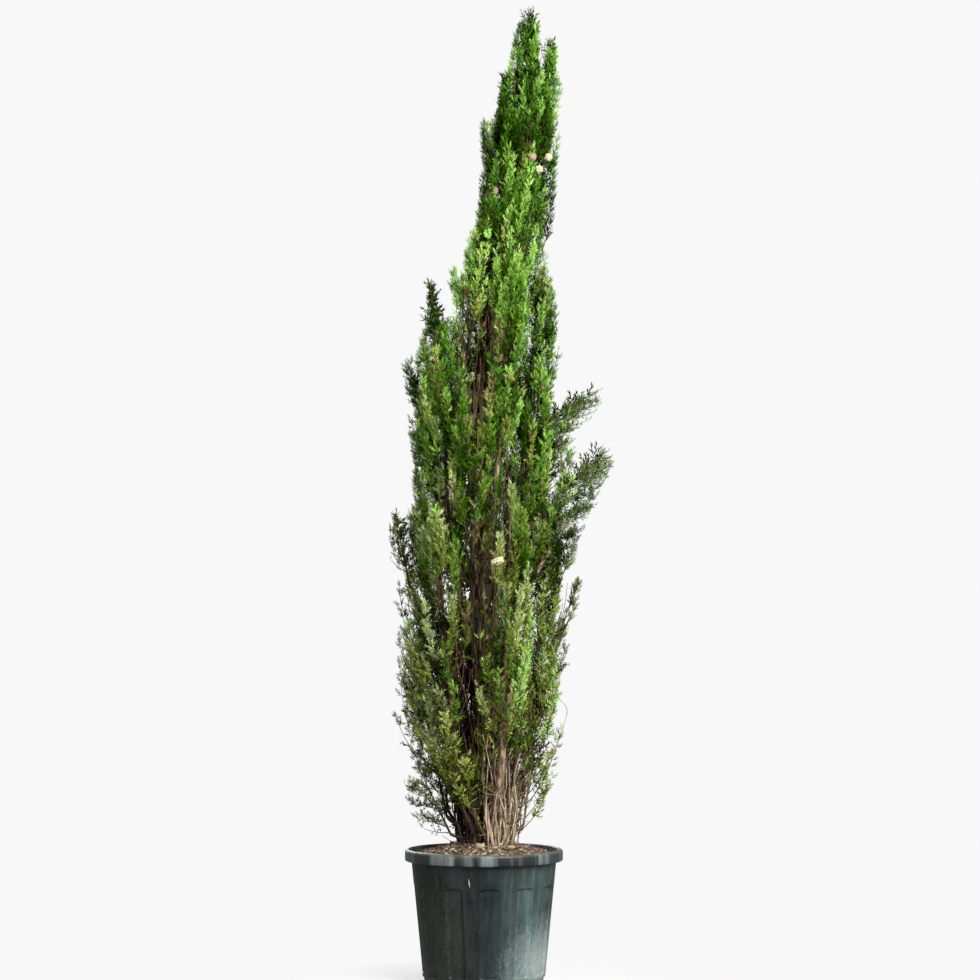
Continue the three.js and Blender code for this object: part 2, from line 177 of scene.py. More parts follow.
# The trunk's middle, from the soil to the foot of the leader, and its bark
TRUNK_PATH = np.array([
    (0.008, 0, SOIL_TOP + SEAT_GAP),
    (0.008, 0, 0.560),
    (-0.002, 0.006, 1.000),
    (0.004, -0.004, 1.500),
    (0.026, 0.004, 1.930),
    (0.092, 0, 2.300),
    (0.116, 0.001, 2.440),
    (0.124, 0.002, 2.560),
])
TRUNK = dict(base=0.027, tip=0.006, flare=0.013, flare_height=0.045, sides=40, steps=240, samples=700)
BOUGH = dict(swell=1.25, taper=0.45, bend=0.55, sides=14, steps=44)
BARK = dict(depth=0.18, across=0.011, along=0.13, fine_depth=0.5, fine_pitch=2.3)
LIMB_SHARP = 80

# The bark's fibres, and each kind of bark from its furrows to its pale strips. Stems on the right are pale
# and fibrous, partly painted light. Stems and limbs on the left take a darker copy of the bark, which is
# painted shade, and stems higher inside the crown a paler copy, partly painted light.
FIBRE = dict(grain=(0.006, 0.006, 0.11), dark=0.33, middle=0.5, pale=0.72, bump=0.6, depth=0.002)
BARKS = dict(
    old=dict(name="cypress_bark", dark="#33271d", middle="#6b5844", pale="#a8947a"),
    # a darker copy of the bark, painted shade for stems and limbs on the left
    dark=dict(name="shaded_stem_bark", dark="#150d09", middle="#2b1e16", pale="#54402f"),
    # a paler copy of the twig bark, partly painted light for stems inside the crown
    inner=dict(name="lit_inner_stem_bark", dark="#4a3525", middle="#8b6d52", pale="#c8ad8e"),
    young=dict(name="twig_bark", dark="#2e1d15", middle="#59412f", pale="#8f7459"),
    pale=dict(name="pale_stem_bark", dark="#45382c", middle="#8a7862", pale="#c6b69b"),
    green=dict(name="green_twig", dark="#1b2408", middle="#34441a", pale="#57692f"),
)
STEM_BARKS = ["dark", "young", "pale", "inner"]
# where the darker bark, which is painted shade, and the pale one begin, and how far chance blurs the line
BARK_SIDES = dict(pale_from=0.012, shaded_to=0.000, shaded_below=0.66, blend=0.010)

# The source's rule: a fixed turn from each spray to the next, and the space that a plume keeps to
SEED = 0.2
TURN_OF_LEAVES = 137.508
SPACE = dict(widest=0.42, point=0.6)
STRAY = dict(turn=4, foot=0.020, tip=0.045, ring=0.008, radius=0.07)
STEPS = dict(turn=0.618, foot=0.7549, tip=0.5698, ring=0.8192, radius=0.6711)
STEM_SHARE = 0.9
BOW_RISE = 0.5
SHOOT_DENSE = dict(first=0.03, last=0.76, low_rise=0.2, high_rise=0.27, end=0.97, root=0.12, reach=0.86)
SHOOT_OPEN = dict(first=0.05, last=0.72, low_rise=0.22, high_rise=0.27, end=0.97, root=0, reach=0.82)
SHOOT = dict(
    rises=(0.8, 1.15), reaches=(0.72, 1.06), below=0.04, lowest=0.01, bend_rise=0.3, bend_reach=0.9, top=0.3)

# Rows of plumes, lowest first: the source's places, and then how each row is carried on. shoots is how many
# twigs leave each plume's stem, gap is the distance between sprays along a twig, spray is a spray's length,
# wild is how far sprays turn from upright, and tints are the shares of shoots that take each family of
# greens. wisps are thin twigs that stand past the foliage, which ends at the share blunt of the plume's
# length. lift makes a row lighter by so many shades, skew makes a plume wider on its left and narrower on
# its right, and tilt is how many degrees its lowest and its highest shoots lean out from it. bow is how far
# its stem bows in, and aside is how far its tip stands to the right of the source's place. short is the
# share of its length, fill that of its shoots, and spread how far they reach for its own space.
ROWS = [
    dict(name="skirt", turns=[52, 116, 187, 259, 334], foot=0.474, tip=1.000, foot_ring=0.118,
         tip_ring=0.204, radius=0.068, drop=0.052, limb=0.005, open=True,
         shoots=26, gap=0.0054, spray=0.031, wild=0.45, spread=[1.2, 1.2, 1.6, 1.35, 1.3], lift=0.3,
         aside=[0, 0, 0, -0.19, 0], fill=[0.8, 1, 1.3, 1.6, 1],
         tints=dict(dull=0.25, olive=0.5, yellow=0.25)),
    dict(name="skirt_low_left", turns=[208], foot=0.432, tip=0.640, foot_ring=0.118,
         tip_ring=0.228, radius=0.044, drop=0.022, limb=0.0045, open=True,
         shoots=20, gap=0.0064, spray=0.027, wild=0.5, spread=[1.6], lift=-0.6, tilt=(20, 45),
         tints=dict(dull=0.9, olive=0.1)),
    dict(name="lower", turns=[16, 82, 154, 226, 292], foot=0.660, tip=1.400, foot_ring=0.136,
         tip_ring=0.214, radius=0.090, drop=0.238, limb=0.011, bough=True,
         shoots=52, gap=0.0038, spray=0.031, wild=0.34, spread=[1.15, 1.1, 1.5, 1.35, 1.1], lift=0.75,
         tints=dict(olive=0.48, fresh=0.3, dull=0.14, yellow=0.08)),
    dict(name="twig_right", turns=[2], foot=0.960, tip=1.175, foot_ring=0.205,
         tip_ring=0.284, radius=0.028, drop=0.330, limb=0.0045, open=True,
         shoots=13, gap=0.0052, spray=0.028, wild=0.4, tints=dict(dull=0.6, yellow=0.4)),
    dict(name="stray_left", turns=[176], foot=1.190, tip=1.385, foot_ring=0.226,
         tip_ring=0.270, radius=0.030, drop=0.330, limb=0.0045,
         shoots=20, gap=0.0044, spray=0.027, wild=0.3, spread=[1.6], lift=0.8, short=0.86,
         tints=dict(dull=0.45, olive=0.55)),
    dict(name="middle", turns=[50, 121, 190, 259, 326], foot=1.130, tip=1.790, foot_ring=0.128,
         tip_ring=0.172, radius=0.086, drop=0.330, limb=0.010, bough=True,
         shoots=50, gap=0.0037, spray=0.030, wild=0.28, spread=[1.08, 1.08, 1.2, 1.1, 1.08], lift=-0.1,
         tints=dict(fresh=0.5, olive=0.34, yellow=0.08, dull=0.08)),
    dict(name="fan_low_right", turns=[352], foot=1.255, tip=1.545, foot_ring=0.196,
         tip_ring=0.366, radius=0.048, drop=0.400, limb=0.007, bough=True, wisps=4, bow=0.045, tilt=(34, 16),
         shoots=42, gap=0.0046, spray=0.030, wild=0.24, spread=[1.7], lift=-0.3,
         tints=dict(dull=0.65, fresh=0.35)),
    dict(name="fan_high_right", turns=[10], foot=1.420, tip=1.735, foot_ring=0.178,
         tip_ring=0.340, radius=0.046, drop=0.440, limb=0.007, bough=True, wisps=3, bow=0.078, tilt=(44, 12),
         shoots=42, gap=0.0046, spray=0.030, wild=0.24, spread=[1.3], tints=dict(dull=0.9, fresh=0.1)),
    dict(name="shoulder", turns=[156, 225], foot=1.440, tip=1.965, foot_ring=0.124,
         tip_ring=0.170, radius=0.084, drop=0.330, limb=0.009, bough=True,
         shoots=48, gap=0.0037, spray=0.029, wild=0.24, spread=[1.7, 1.4], lift=-0.35,
         tints=dict(fresh=0.58, olive=0.26, dull=0.1, yellow=0.06)),
    dict(name="upper", turns=[8, 86, 292], foot=1.490, tip=2.090, foot_ring=0.112,
         tip_ring=0.132, radius=0.082, drop=0.330, limb=0.009, bough=True,
         shoots=50, gap=0.0037, spray=0.029, wild=0.2, lift=-0.2,
         tints=dict(fresh=0.78, olive=0.12, yellow=0.1)),
    dict(name="outlier_left", turns=[176], foot=1.870, tip=2.062, foot_ring=0.168,
         tip_ring=0.190, radius=0.026, drop=0.300, limb=0.004, short=0.9, aside=[-0.010],
         shoots=11, gap=0.0048, spray=0.026, wild=0.24, spread=[0.75], tints=dict(dull=0.7, fresh=0.3)),
    dict(name="collar_left", turns=[204], foot=1.720, tip=2.330, foot_ring=0.086,
         tip_ring=0.078, radius=0.066, drop=0.120, limb=0.006,
         shoots=48, gap=0.0038, spray=0.028, wild=0.18, lift=-0.2,
         tints=dict(fresh=0.66, olive=0.16, yellow=0.18)),
    dict(name="neck", turns=[24, 114, 294], foot=1.850, tip=2.400, foot_ring=0.064,
         tip_ring=0.068, radius=0.058, drop=0.110, limb=0.006,
         shoots=42, gap=0.0039, spray=0.028, wild=0.18, spread=[1.4, 1.15, 1.2],
         tints=dict(fresh=0.86, olive=0.06, yellow=0.08)),
    dict(name="spire", turns=[-21, 69, 159, 249], foot=2.170, tip=2.620, foot_ring=0.062,
         tip_ring=0.066, radius=0.046, drop=0.095, limb=0.005,
         shoots=38, gap=0.0039, spray=0.026, wild=0.16, spread=[1.5, 1.2, 1.05, 1.3], lift=-0.05,
         tints=dict(fresh=0.95, yellow=0.05)),
    dict(name="tip", turns=[114, 204, 294], foot=2.440, tip=2.715, foot_ring=0.050,
         tip_ring=0.062, radius=0.037, drop=0.075, limb=0.004,
         shoots=34, gap=0.0040, spray=0.024, wild=0.15, spread=[1.4, 1.15, 1.4], skew=-0.3, lift=0.15,
         tilt=(0, -12), tints=dict(fresh=1)),
    dict(name="tip_right", turns=[16], foot=2.460, tip=2.795, foot_ring=0.052,
         tip_ring=0.078, radius=0.037, drop=0.075, limb=0.004, wisps=4, blunt=0.93,
         shoots=36, gap=0.0040, spray=0.024, wild=0.13, spread=[1.5], lift=0.5, tints=dict(fresh=1)),
    dict(name="leader", turns=[0], foot=2.560, tip=2.880, foot_ring=0,
         tip_ring=0.021, radius=0.032, drop=0, limb=0.0055, wisps=6, blunt=0.83,
         shoots=44, gap=0.0040, spray=0.024, wild=0.12, spread=[1.8], skew=0.4, tints=dict(fresh=1)),
]
PLUME_USUAL = dict(fill=1, spread=1, aside=0)

# Pieces of foliage, each joined from the plumes of some rows
FOLIAGE_PIECES = dict(
    skirt_foliage=["skirt", "skirt_low_left", "twig_right", "stray_left"],
    lower_foliage=["lower"],
    middle_foliage=["middle"],
    fan_foliage=["fan_low_right", "fan_high_right", "shoulder", "outlier_left"],
    upper_foliage=["upper", "collar_left"],
    spire_foliage=["neck", "spire"],
    tip_foliage=["tip", "tip_right", "leader"],
)

# Openings in the crown, where stems or sky show: middle, half sizes, and the share of sprays kept. lean is
# how far an opening's top stands to the right of its middle, and back how far in it reaches.
WINDOWS = [
    dict(x=-0.034, z=1.790, half_x=0.032, half_z=0.190, keep=0.10, lean=-0.021, back=-0.015),
    dict(x=0.028, z=1.865, half_x=0.018, half_z=0.075, keep=0.15, back=-0.015),
    dict(x=-0.020, z=1.665, half_x=0.028, half_z=0.085, keep=0.06, back=-0.015),
    dict(x=-0.034, z=1.240, half_x=0.038, half_z=0.075, keep=0.15, back=0.02),
    dict(x=-0.002, z=1.085, half_x=0.041, half_z=0.155, keep=0.15, back=0.02),
    dict(x=-0.045, z=0.440, half_x=0.078, half_z=0.070, keep=0.03),
    dict(x=-0.250, z=0.660, half_x=0.045, half_z=0.065, keep=0.1, back=1),
    dict(x=0.234, z=1.105, half_x=0.018, half_z=0.085, keep=0.05, back=1),
    dict(x=0.285, z=1.645, half_x=0.022, half_z=0.022, keep=0.3, lean=0.03, back=1),
    dict(x=-0.255, z=1.070, half_x=0.070, half_z=0.270, keep=0.48, back=1),
    dict(x=0.150, z=1.655, half_x=0.016, half_z=0.060, keep=0.08, back=1),
    dict(x=-0.118, z=1.515, half_x=0.014, half_z=0.045, keep=0.05, back=1),
    dict(x=-0.050, z=0.800, half_x=0.034, half_z=0.160, keep=0.03),
    dict(x=0.062, z=1.330, half_x=0.016, half_z=0.170, keep=0.04),
    dict(x=-0.100, z=1.340, half_x=0.018, half_z=0.110, keep=0.04),
    dict(x=-0.112, z=1.085, half_x=0.016, half_z=0.110, keep=0.08),
    dict(x=0.070, z=0.510, half_x=0.070, half_z=0.140, keep=0.04),
    dict(x=0.092, z=2.610, half_x=0.013, half_z=0.100, keep=0.2),
    dict(x=0.136, z=2.210, half_x=0.013, half_z=0.100, keep=0.2),
]
WINDOW_BACK = 0.05

# Where many sprays are dead and brown, inside the crown's openings
BROWN_SPOTS = [
    dict(x=-0.030, z=1.790, half_x=0.050, half_z=0.230, lean=-0.021, share=0.3),
    dict(x=0.028, z=1.865, half_x=0.030, half_z=0.095, share=0.4),
    dict(x=-0.010, z=1.125, half_x=0.056, half_z=0.200, share=0.5),
    dict(x=0.040, z=0.760, half_x=0.050, half_z=0.120, share=0.3),
]

# Shoots of another family of greens: where they show on the front, and how far each spot reaches. On the
# crown's lower left side most shoots are dull.
TINT_SPOTS = [
    dict(x=-0.028, z=2.115, reach=0.085, tint="lime"),
    dict(x=0.056, z=2.060, reach=0.060, tint="lime", lift=0.3),
    dict(x=0.120, z=2.110, reach=0.060, tint="fresh"),
    dict(x=0.000, z=2.490, reach=0.050, tint="dull", lift=-0.5),
    dict(x=0.034, z=1.190, reach=0.030, tint="lime"),
    dict(x=0.118, z=2.715, reach=0.035, tint="lime"),
    dict(x=0.070, z=2.430, reach=0.028, tint="lime"),
    dict(x=0.090, z=2.330, reach=0.100, tint="fresh", lift=0.25),
    dict(x=-0.110, z=1.275, reach=0.055, tint="yellow"),
    dict(x=-0.064, z=1.050, reach=0.045, tint="yellow"),
    dict(x=-0.090, z=1.120, reach=0.050, tint="yellow", lift=-0.3),
    dict(x=-0.115, z=0.740, reach=0.085, tint="yellow"),
    dict(x=-0.040, z=0.580, reach=0.050, tint="yellow"),
    dict(x=-0.090, z=0.610, reach=0.070, tint="yellow"),
    dict(x=0.048, z=1.620, reach=0.040, tint="fresh"),
    dict(x=0.135, z=1.420, reach=0.045, tint="lime"),
    dict(x=0.165, z=1.960, reach=0.070, tint="fresh"),
    dict(x=0.195, z=0.860, reach=0.170, tint="fresh"),
]
DULL_SIDE = dict(x=-0.125, low=0.800, high=1.420, share=0.70, lift=-0.05)

# Tufts that stand out of the crown's edge or close a gap, by the plume that they belong to: root and end
TUFTS = dict(
    leader=[((0.120, 0.010, 2.630), (0.106, 0.015, 2.765))],
    tip_right=[((0.156, 0.000, 2.480), (0.168, 0.010, 2.620))],
    tip_2=[
        ((0.086, -0.010, 2.570), (0.077, -0.020, 2.705)),
        ((0.092, -0.030, 2.600), (0.090, -0.040, 2.735)),
    ],
    spire_1=[
        ((0.170, -0.020, 2.140), (0.198, -0.030, 2.265)),
        ((0.180, -0.010, 2.210), (0.205, -0.015, 2.340)),
        ((0.185, 0.005, 2.290), (0.209, 0.005, 2.420)),
    ],
    spire_3=[
        ((0.040, -0.035, 2.390), (0.000, -0.045, 2.520)),
        ((0.042, -0.020, 2.360), (-0.002, -0.030, 2.485)),
        ((0.040, -0.005, 2.340), (-0.002, -0.010, 2.450)),
        ((0.045, -0.045, 2.400), (0.008, -0.055, 2.515)),
        ((0.036, -0.025, 2.350), (-0.002, -0.040, 2.500)),
        ((0.040, 0.010, 2.380), (0.004, 0.010, 2.505)),
    ],
    collar_left=[
        ((-0.040, -0.045, 1.980), (-0.090, -0.055, 2.078)),
        ((-0.050, -0.030, 1.960), (-0.092, -0.040, 2.040)),
        ((-0.050, 0.000, 1.930), (-0.080, 0.000, 2.060)),
    ],
    shoulder_1=[
        ((-0.165, -0.030, 1.715), (-0.228, -0.040, 1.795)),
        ((-0.160, -0.020, 1.660), (-0.226, -0.035, 1.740)),
        ((-0.030, 0.030, 1.560), (-0.062, 0.045, 1.800)),
        ((-0.030, 0.040, 1.660), (-0.066, 0.055, 1.890)),
        ((-0.020, 0.045, 1.730), (-0.050, 0.060, 1.960)),
        ((-0.045, 0.045, 1.600), (-0.078, 0.065, 1.810)),
        ((-0.040, 0.015, 1.680), (-0.052, 0.025, 1.860)),
    ],
    upper_2=[
        ((-0.010, 0.050, 1.660), (-0.048, 0.080, 1.880)),
        ((0.000, 0.040, 1.620), (-0.025, 0.060, 1.850)),
        ((0.000, 0.040, 1.740), (-0.030, 0.060, 1.990)),
    ],
    skirt_5=[
        ((0.004, -0.080, 0.600), (-0.004, -0.125, 0.735)),
        ((0.010, -0.100, 0.660), (0.008, -0.150, 0.810)),
        ((0.030, -0.085, 0.610), (0.028, -0.135, 0.750)),
        ((0.038, -0.100, 0.680), (0.040, -0.155, 0.830)),
        ((0.055, -0.085, 0.600), (0.060, -0.135, 0.735)),
        ((0.065, -0.100, 0.660), (0.070, -0.155, 0.805)),
        ((0.085, -0.075, 0.610), (0.098, -0.120, 0.755)),
        ((0.100, -0.090, 0.690), (0.112, -0.140, 0.840)),
        ((0.110, -0.060, 0.590), (0.126, -0.100, 0.725)),
        ((0.095, -0.040, 0.430), (0.176, -0.045, 0.560)),
    ],
    lower_5=[((0.030, -0.150, 1.040), (0.034, -0.195, 1.205))],
    middle_1=[
        ((0.200, -0.020, 1.360), (0.232, -0.030, 1.500)),
        ((0.205, -0.030, 1.340), (0.240, -0.040, 1.480)),
        ((0.215, -0.030, 1.390), (0.252, -0.045, 1.530)),
    ],
    fan_low_right=[
        ((0.190, 0.000, 1.130), (0.245, 0.000, 1.230)),
        ((0.195, -0.020, 1.150), (0.262, -0.030, 1.265)),
        ((0.200, 0.000, 1.180), (0.268, -0.005, 1.295)),
        ((0.190, -0.030, 1.200), (0.250, -0.040, 1.320)),
    ],
    middle_2=[
        ((0.040, 0.050, 1.300), (0.052, 0.080, 1.480)),
        ((0.060, 0.060, 1.330), (0.072, 0.085, 1.510)),
        ((0.050, 0.065, 1.400), (0.062, 0.090, 1.580)),
    ],
)

# Greens, from the shaded foot of a shoot to its lit tips
SHADES = dict(
    # the darkest green, painted shadow for the gaps between plumes and the feet of shoots
    gap_shadow_green="#0a1400",
    shade_green="#142500",
    deep_fresh="#254400",
    mid_fresh="#39630e",
    leaf_fresh="#528025",
    light_fresh="#75a33c",
    tip_fresh="#9cc662",
    deep_olive="#354506",
    mid_olive="#54621c",
    leaf_olive="#707f33",
    light_olive="#919f55",
    tip_olive="#afba7e",
    lime_green="#88b043",
    yellow_green="#7f8c35",
    pale_yellow="#a6ae5e",
    grey_green="#424f2c",
    dull_green="#5d6d41",
    pale_dull="#899a6c",
    dead_brown="#52432b",
    dead_tan="#8b7751",
)
TINTS = dict(
    fresh=["gap_shadow_green", "shade_green", "deep_fresh", "mid_fresh", "leaf_fresh", "light_fresh", "tip_fresh"],
    olive=["gap_shadow_green", "shade_green", "deep_olive", "mid_olive", "leaf_olive", "light_olive", "tip_olive"],
    yellow=[
        "shade_green", "deep_olive", "mid_olive", "leaf_olive", "yellow_green", "pale_yellow",
        "pale_yellow"],
    lime=["deep_fresh", "mid_fresh", "leaf_fresh", "light_fresh", "lime_green", "lime_green", "tip_fresh"],
    dull=["gap_shadow_green", "shade_green", "grey_green", "grey_green", "dull_green", "dull_green", "pale_dull"],
    dead=["shade_green", "dead_brown", "dead_brown", "dead_brown", "dead_tan", "dead_tan", "dead_tan"],
)
TINT_NUMBERS = {name: number for number, name in enumerate(TINTS)}

# How shades are dealt out: a middle one, how far shoots and sprays stray from it, and how much lighter they
# get along a shoot and towards a spray's tip, which is painted shade at the foot and painted light at the
# tips.
# Fewer sprays are dead higher up.
LEVEL = dict(middle=2.4, by_shoot=1.35, by_spray=0.5, along=2.9, even=0.55, tips=2.3, spot=0.9)
DEAD_SHARE = dict(heights=[1.5, 2.1], shares=[0.014, 0.003])
SPOT_TAKEN = 0.75
OWN_TINT = 0.6

# A spray: its branchlets and their forks, and how its parts lie as shares of its length. Sprays inside the
# crown, up to a share of their shoot's length, have fewer, wider branchlets and no forks.
SPRAY = dict(
    kinds=6, turn=70, low=0.04, high=0.72, long=0.46, short=0.26, lengths=(0.8, 1.2), lean=40,
    leans=(0.7, 1.25), axis=0.075, fold=0.6, belly=-0.15, fork=0.35, fork_along=0.45, fork_aside=0.3)
FINE_SPRAY = dict(branchlets=11, wide=0.062, forks=6)
PLAIN_SPRAY = dict(branchlets=5, wide=0.14, forks=0)
FINE_FROM = 0.56

# How sprays lie along a shoot, and the wisps that end in a few withered ones. OFF_TWIGS is a direction that
# no twig runs along.
SPRAY_LAY = dict(along=0.6, out=0.8, up=0.4, curl=0.2)
SPRAY_ROW = dict(start=0.2, fewest=4, lengths=(0.7, 1.25), foot=1.1, taper=0.3, steps=20)
OFF_TWIGS = (0.3, 1, 0.1)
WISP = dict(
    foot=0.72, reach=0.3, aside=0.018, below=0.050, above=0.004, bend=0.6, bow=0.2, sprays=4, start=0.6,
    length=0.011, lengths=(0.7, 1.3), wild=0.3)

# Sprays are left out or shortened where they face the trunk, leave their plume's space or the plant's box,
# or come near the soil
INSIDE = dict(share=-0.3, keep=0.25, shoots=-0.35, one_in=4)
REACH_OVER = dict(share=1.15, margin=0.012, shrink=0.6)
BOX_OVER = 0.018
SOIL_CLEAR = 0.020

# Twigs and the thin upright stems that fill the inside of the crown. A level below 0 makes the sprays on
# stems, limbs and plume cores so many shades darker: painted shade inside the crown.
TWIG = dict(foot=0.0019, tip=0.0008, sides=3, steps=6)
GREEN_TWIGS = dict(heights=[0.8, 1.6], shares=[0.2, 0.97])
STEM_TUBE = dict(sides=5, steps=14, tip=0.35, sway=0.016, waves=7, kink=0.0016, vary=0.42)
BASE_STEMS = dict(
    count=150, near=0.7, ring=0.084, spread=0.085, spreads=(0.1, 1.3), low=0.60, high=1.12, sunk=0.004,
    bend=0.45, bend_stray=10, end_stray=20, radius=0.0030, sprays=26, start=0.25, level=-0.8, size=0.8)
INNER_STEMS = dict(
    count=160, low=0.50, high=2.10, rise=0.46, rises=(0.7, 1.2), ring=0.105, rings=(0.4, 1.2), narrow=0.35,
    bend_rise=0.25, bend_ring=0.9, radius=0.0032, sprays=18, start=0.3, level=-1.1)
LIMB_SPRAYS = dict(sprays=22, start=0.5, level=-0.6)
FAN_SPRAYS = dict(sprays=130, start=0.3, level=-0.2)
CORE_SPRAYS = dict(sprays=74, start=0.08, level=-1.2)
FOOT_SPRAYS = dict(sprays=3, start=0.5, level=-0.6, size=0.4, one_in=2, points=5)
INNER_SPRAY = dict(length=0.042, lengths=(0.6, 1.3), wild=0.45)
INNER_TINTS = dict(
    foot=dict(dead=0.5, dull=0.2, olive=0.3),
    low=dict(dull=0.3, dead=0.15, olive=0.45, yellow=0.1),
    high=dict(dull=0.3, dead=0.02, fresh=0.68))
HIGH_CROWN = 1.4

# Dead twigs that tangle round the foot, and bare ones that stand out of the crown
FOOT_TWIGS = dict(
    count=560, low=0.02, high=0.5, length=0.060, lengths=(0.4, 1.2), rise=0.5, bend=0.15, radius=0.0011)
BARE_TWIGS = [
    dict(root=(0.120, -0.060, 0.500), bend=(0.205, -0.075, 0.640), end=(0.240, -0.080, 0.775)),
    dict(root=(0.240, -0.080, 0.775), bend=(0.246, -0.080, 0.805), end=(0.214, -0.070, 0.822)),
]

# Ripe cones: the plume, the share of its length and the degrees round it, near the source's places
CONES = [
    dict(plume="spire_1", share=0.54, turn=250, reach=1.25, colour="cone_pink"),
    dict(plume="spire_1", share=0.56, turn=302, reach=1.25, colour="cone_cream"),
    dict(plume="spire_1", share=0.46, turn=276, reach=1.25, colour="cone_cream"),
    dict(plume="spire_4", share=0.36, turn=215, colour="cone_pink", size=(0.8, 0.8, 0.9)),
    dict(plume="spire_3", share=0.33, turn=255, colour="cone_brown"),
    dict(plume="spire_2", share=0.45, turn=70, colour="cone_pink"),
    dict(plume="neck_2", share=0.55, turn=80, colour="cone_brown"),
    dict(plume="collar_left", share=0.085, turn=330, colour="cone_cream", size=(0.6, 0.6, 0.8)),
    dict(plume="upper_3", share=0.41, turn=284, colour="cone_tan", size=(1.0, 0.7, 0.6), tilt=30),
    dict(plume="lower_5", share=0.715, turn=236, colour="cone_cream", size=(1.7, 1.2, 1.0), tilt=-22),
]
CONE = dict(
    radius=0.0120, reach=0.80, groove=0.30, edge=0.22, sunk=0.6, boss=0.16, boss_height=0.07, lump=0.16,
    lump_pitch=1.7, lump_step=3, turn_step=1.1, turn_axis=(0.6, 0.3, 0.7), grain=0.008)
CONE_COLOURS = dict(
    cone_brown=("#4c3a24", "#7d6440"), cone_tan=("#67482f", "#936d4a"), cone_pink=("#6e5142", "#a48b78"),
    cone_cream=("#8d8663", "#bab690"))

# The photograph's frame is square: what it spans at the plant, and where it is seen from
VIEW = dict(span=2.89, middle_x=0.0177, middle_z=1.4332, distance=6.6, height=0.95, sensor_mm=36)

# The stage: what the surroundings give as light, as a share of how bright they look, and what stands there
AMBIENT = 0.25
STAGE_FLOOR = dict(radius=1.6, sides=96, fade=0.6, shown=(0.1, 0.8, 0, 0.4))
SOFTBOXES = dict(
    key_softbox=dict(place=(2.0, -3.4, 3.4), aim=(0, 0, 1.1), width=1.6, height=3.2, power=490),
    right_softbox=dict(place=(3.4, -3.2, 1.4), aim=(0, 0, 1.0), width=0.6, height=2.8, power=90),
    left_softbox=dict(place=(-3.0, -3.8, 1.8), aim=(0, 0, 1.0), width=0.8, height=2.8, power=150),
    back_softbox=dict(place=(-1.4, 4.2, 2.6), aim=(0, 0, 1.3), width=2.0, height=2.8, power=130),
)

# Some nodes' inputs go by number. A mix of colours has its share at 0 and the two colours at 6 and 7. A
# range has its value at 0, the ends that this runs between at 1 and 2, and the ends that it is given at 3
# and 4, which are 0 and 1 where they aren't stated.
COLOUR_MIX = dict(output=2, data_type="RGBA")

random = np.random.default_rng(7)


def linear(colour):
    """An sRGB hex colour as linear RGBA."""
    parts = [int(colour[i:i + 2], 16) / 255 for i in (1, 3, 5)]
    return tuple(c / 12.92 if c <= 0.04045 else ((c + 0.055) / 1.055) ** 2.4 for c in parts) + (1.0,)


def lerp(low, high, share):
    return low + (high - low) * share


def unit(vectors):
    return vectors / np.linalg.norm(vectors, axis=-1, keepdims=True)


def add_node(tree, kind, inputs=None, output=0, **settings):
    """Adds a node with its settings, and gives one of its outputs. Each input is a value, a hex colour or
    another node's output, which is linked to it."""
    node = tree.nodes.new(f"ShaderNode{kind}")
    for name, value in settings.items():
        setattr(node, name, value)
    for name, value in (inputs or {}).items():
        if isinstance(value, bpy.types.NodeSocket):
            tree.links.new(value, node.inputs[name])
        else:
            node.inputs[name].default_value = linear(value) if isinstance(value, str) else value
    return node.outputs[output]


def new_material(name, colour, roughness, ior=1.46, shine=0.5):
    material = bpy.data.materials.new(name)
    material.use_nodes = True
    shader = material.node_tree.nodes["Principled BSDF"]
    shader.inputs["Base Color"].default_value = linear(colour)
    shader.inputs["Roughness"].default_value = roughness
    shader.inputs["IOR"].default_value = ior
    shader.inputs["Specular IOR Level"].default_value = shine
    return material


def feed(tree, name, output):
    """Links a node's output to an input of the material's shader."""
    tree.links.new(output, tree.nodes["Principled BSDF"].inputs[name])


# Materials


def leaf_materials():
    """Scale leaves, waxy and matt: one plain green for each shade, dealt out by spray."""
    return {name: new_material(name, colour, roughness=0.6, shine=0.02) for name, colour in SHADES.items()}


def grain_pattern(tree, place, grain, detail=5, roughness=0.6):
    """A pattern round 0.5, with the size of its grain along each axis."""
    scaled = add_node(tree, "Mapping", dict(Vector=place, Scale=[1 / side for side in grain]))
    noise_inputs = dict(Vector=scaled, Scale=1, Detail=detail, Roughness=roughness)
    return add_node(tree, "TexNoise", noise_inputs, "Fac")


def bark_material(name, dark, middle, pale):
    """Cypress bark, shed in long soft fibres: dark furrows between pale strips that run up the stem."""
    material = new_material(name, middle, roughness=0.88, shine=0.25)
    tree = material.node_tree
    fibre = grain_pattern(tree, add_node(tree, "TexCoord", output="Object"), FIBRE["grain"])
    strips = add_node(tree, "ValToRGB", dict(Fac=fibre))
    stops = strips.node.color_ramp.elements
    stops[0].position = FIBRE["dark"]
    stops[0].color = linear(dark)
    stops[1].position = FIBRE["pale"]
    stops[1].color = linear(pale)
    stops.new(FIBRE["middle"]).color = linear(middle)
    feed(tree, "Base Color", strips)
    relief = dict(Height=fibre, Strength=FIBRE["bump"], Distance=FIBRE["depth"])
    feed(tree, "Normal", add_node(tree, "Bump", relief))
    return material


def spot_share(tree, place, centre, radii, turn=(0, 0, 0)):
    """1 at a centre, falling to 0 at the radii of an oval round it."""
    oval = dict(Vector=place, Location=centre, Scale=radii, Rotation=turn)
    within = add_node(tree, "Mapping", oval, vector_type="TEXTURE")
    return add_node(tree, "TexGradient", dict(Vector=within), "Fac", gradient_type="SPHERICAL")


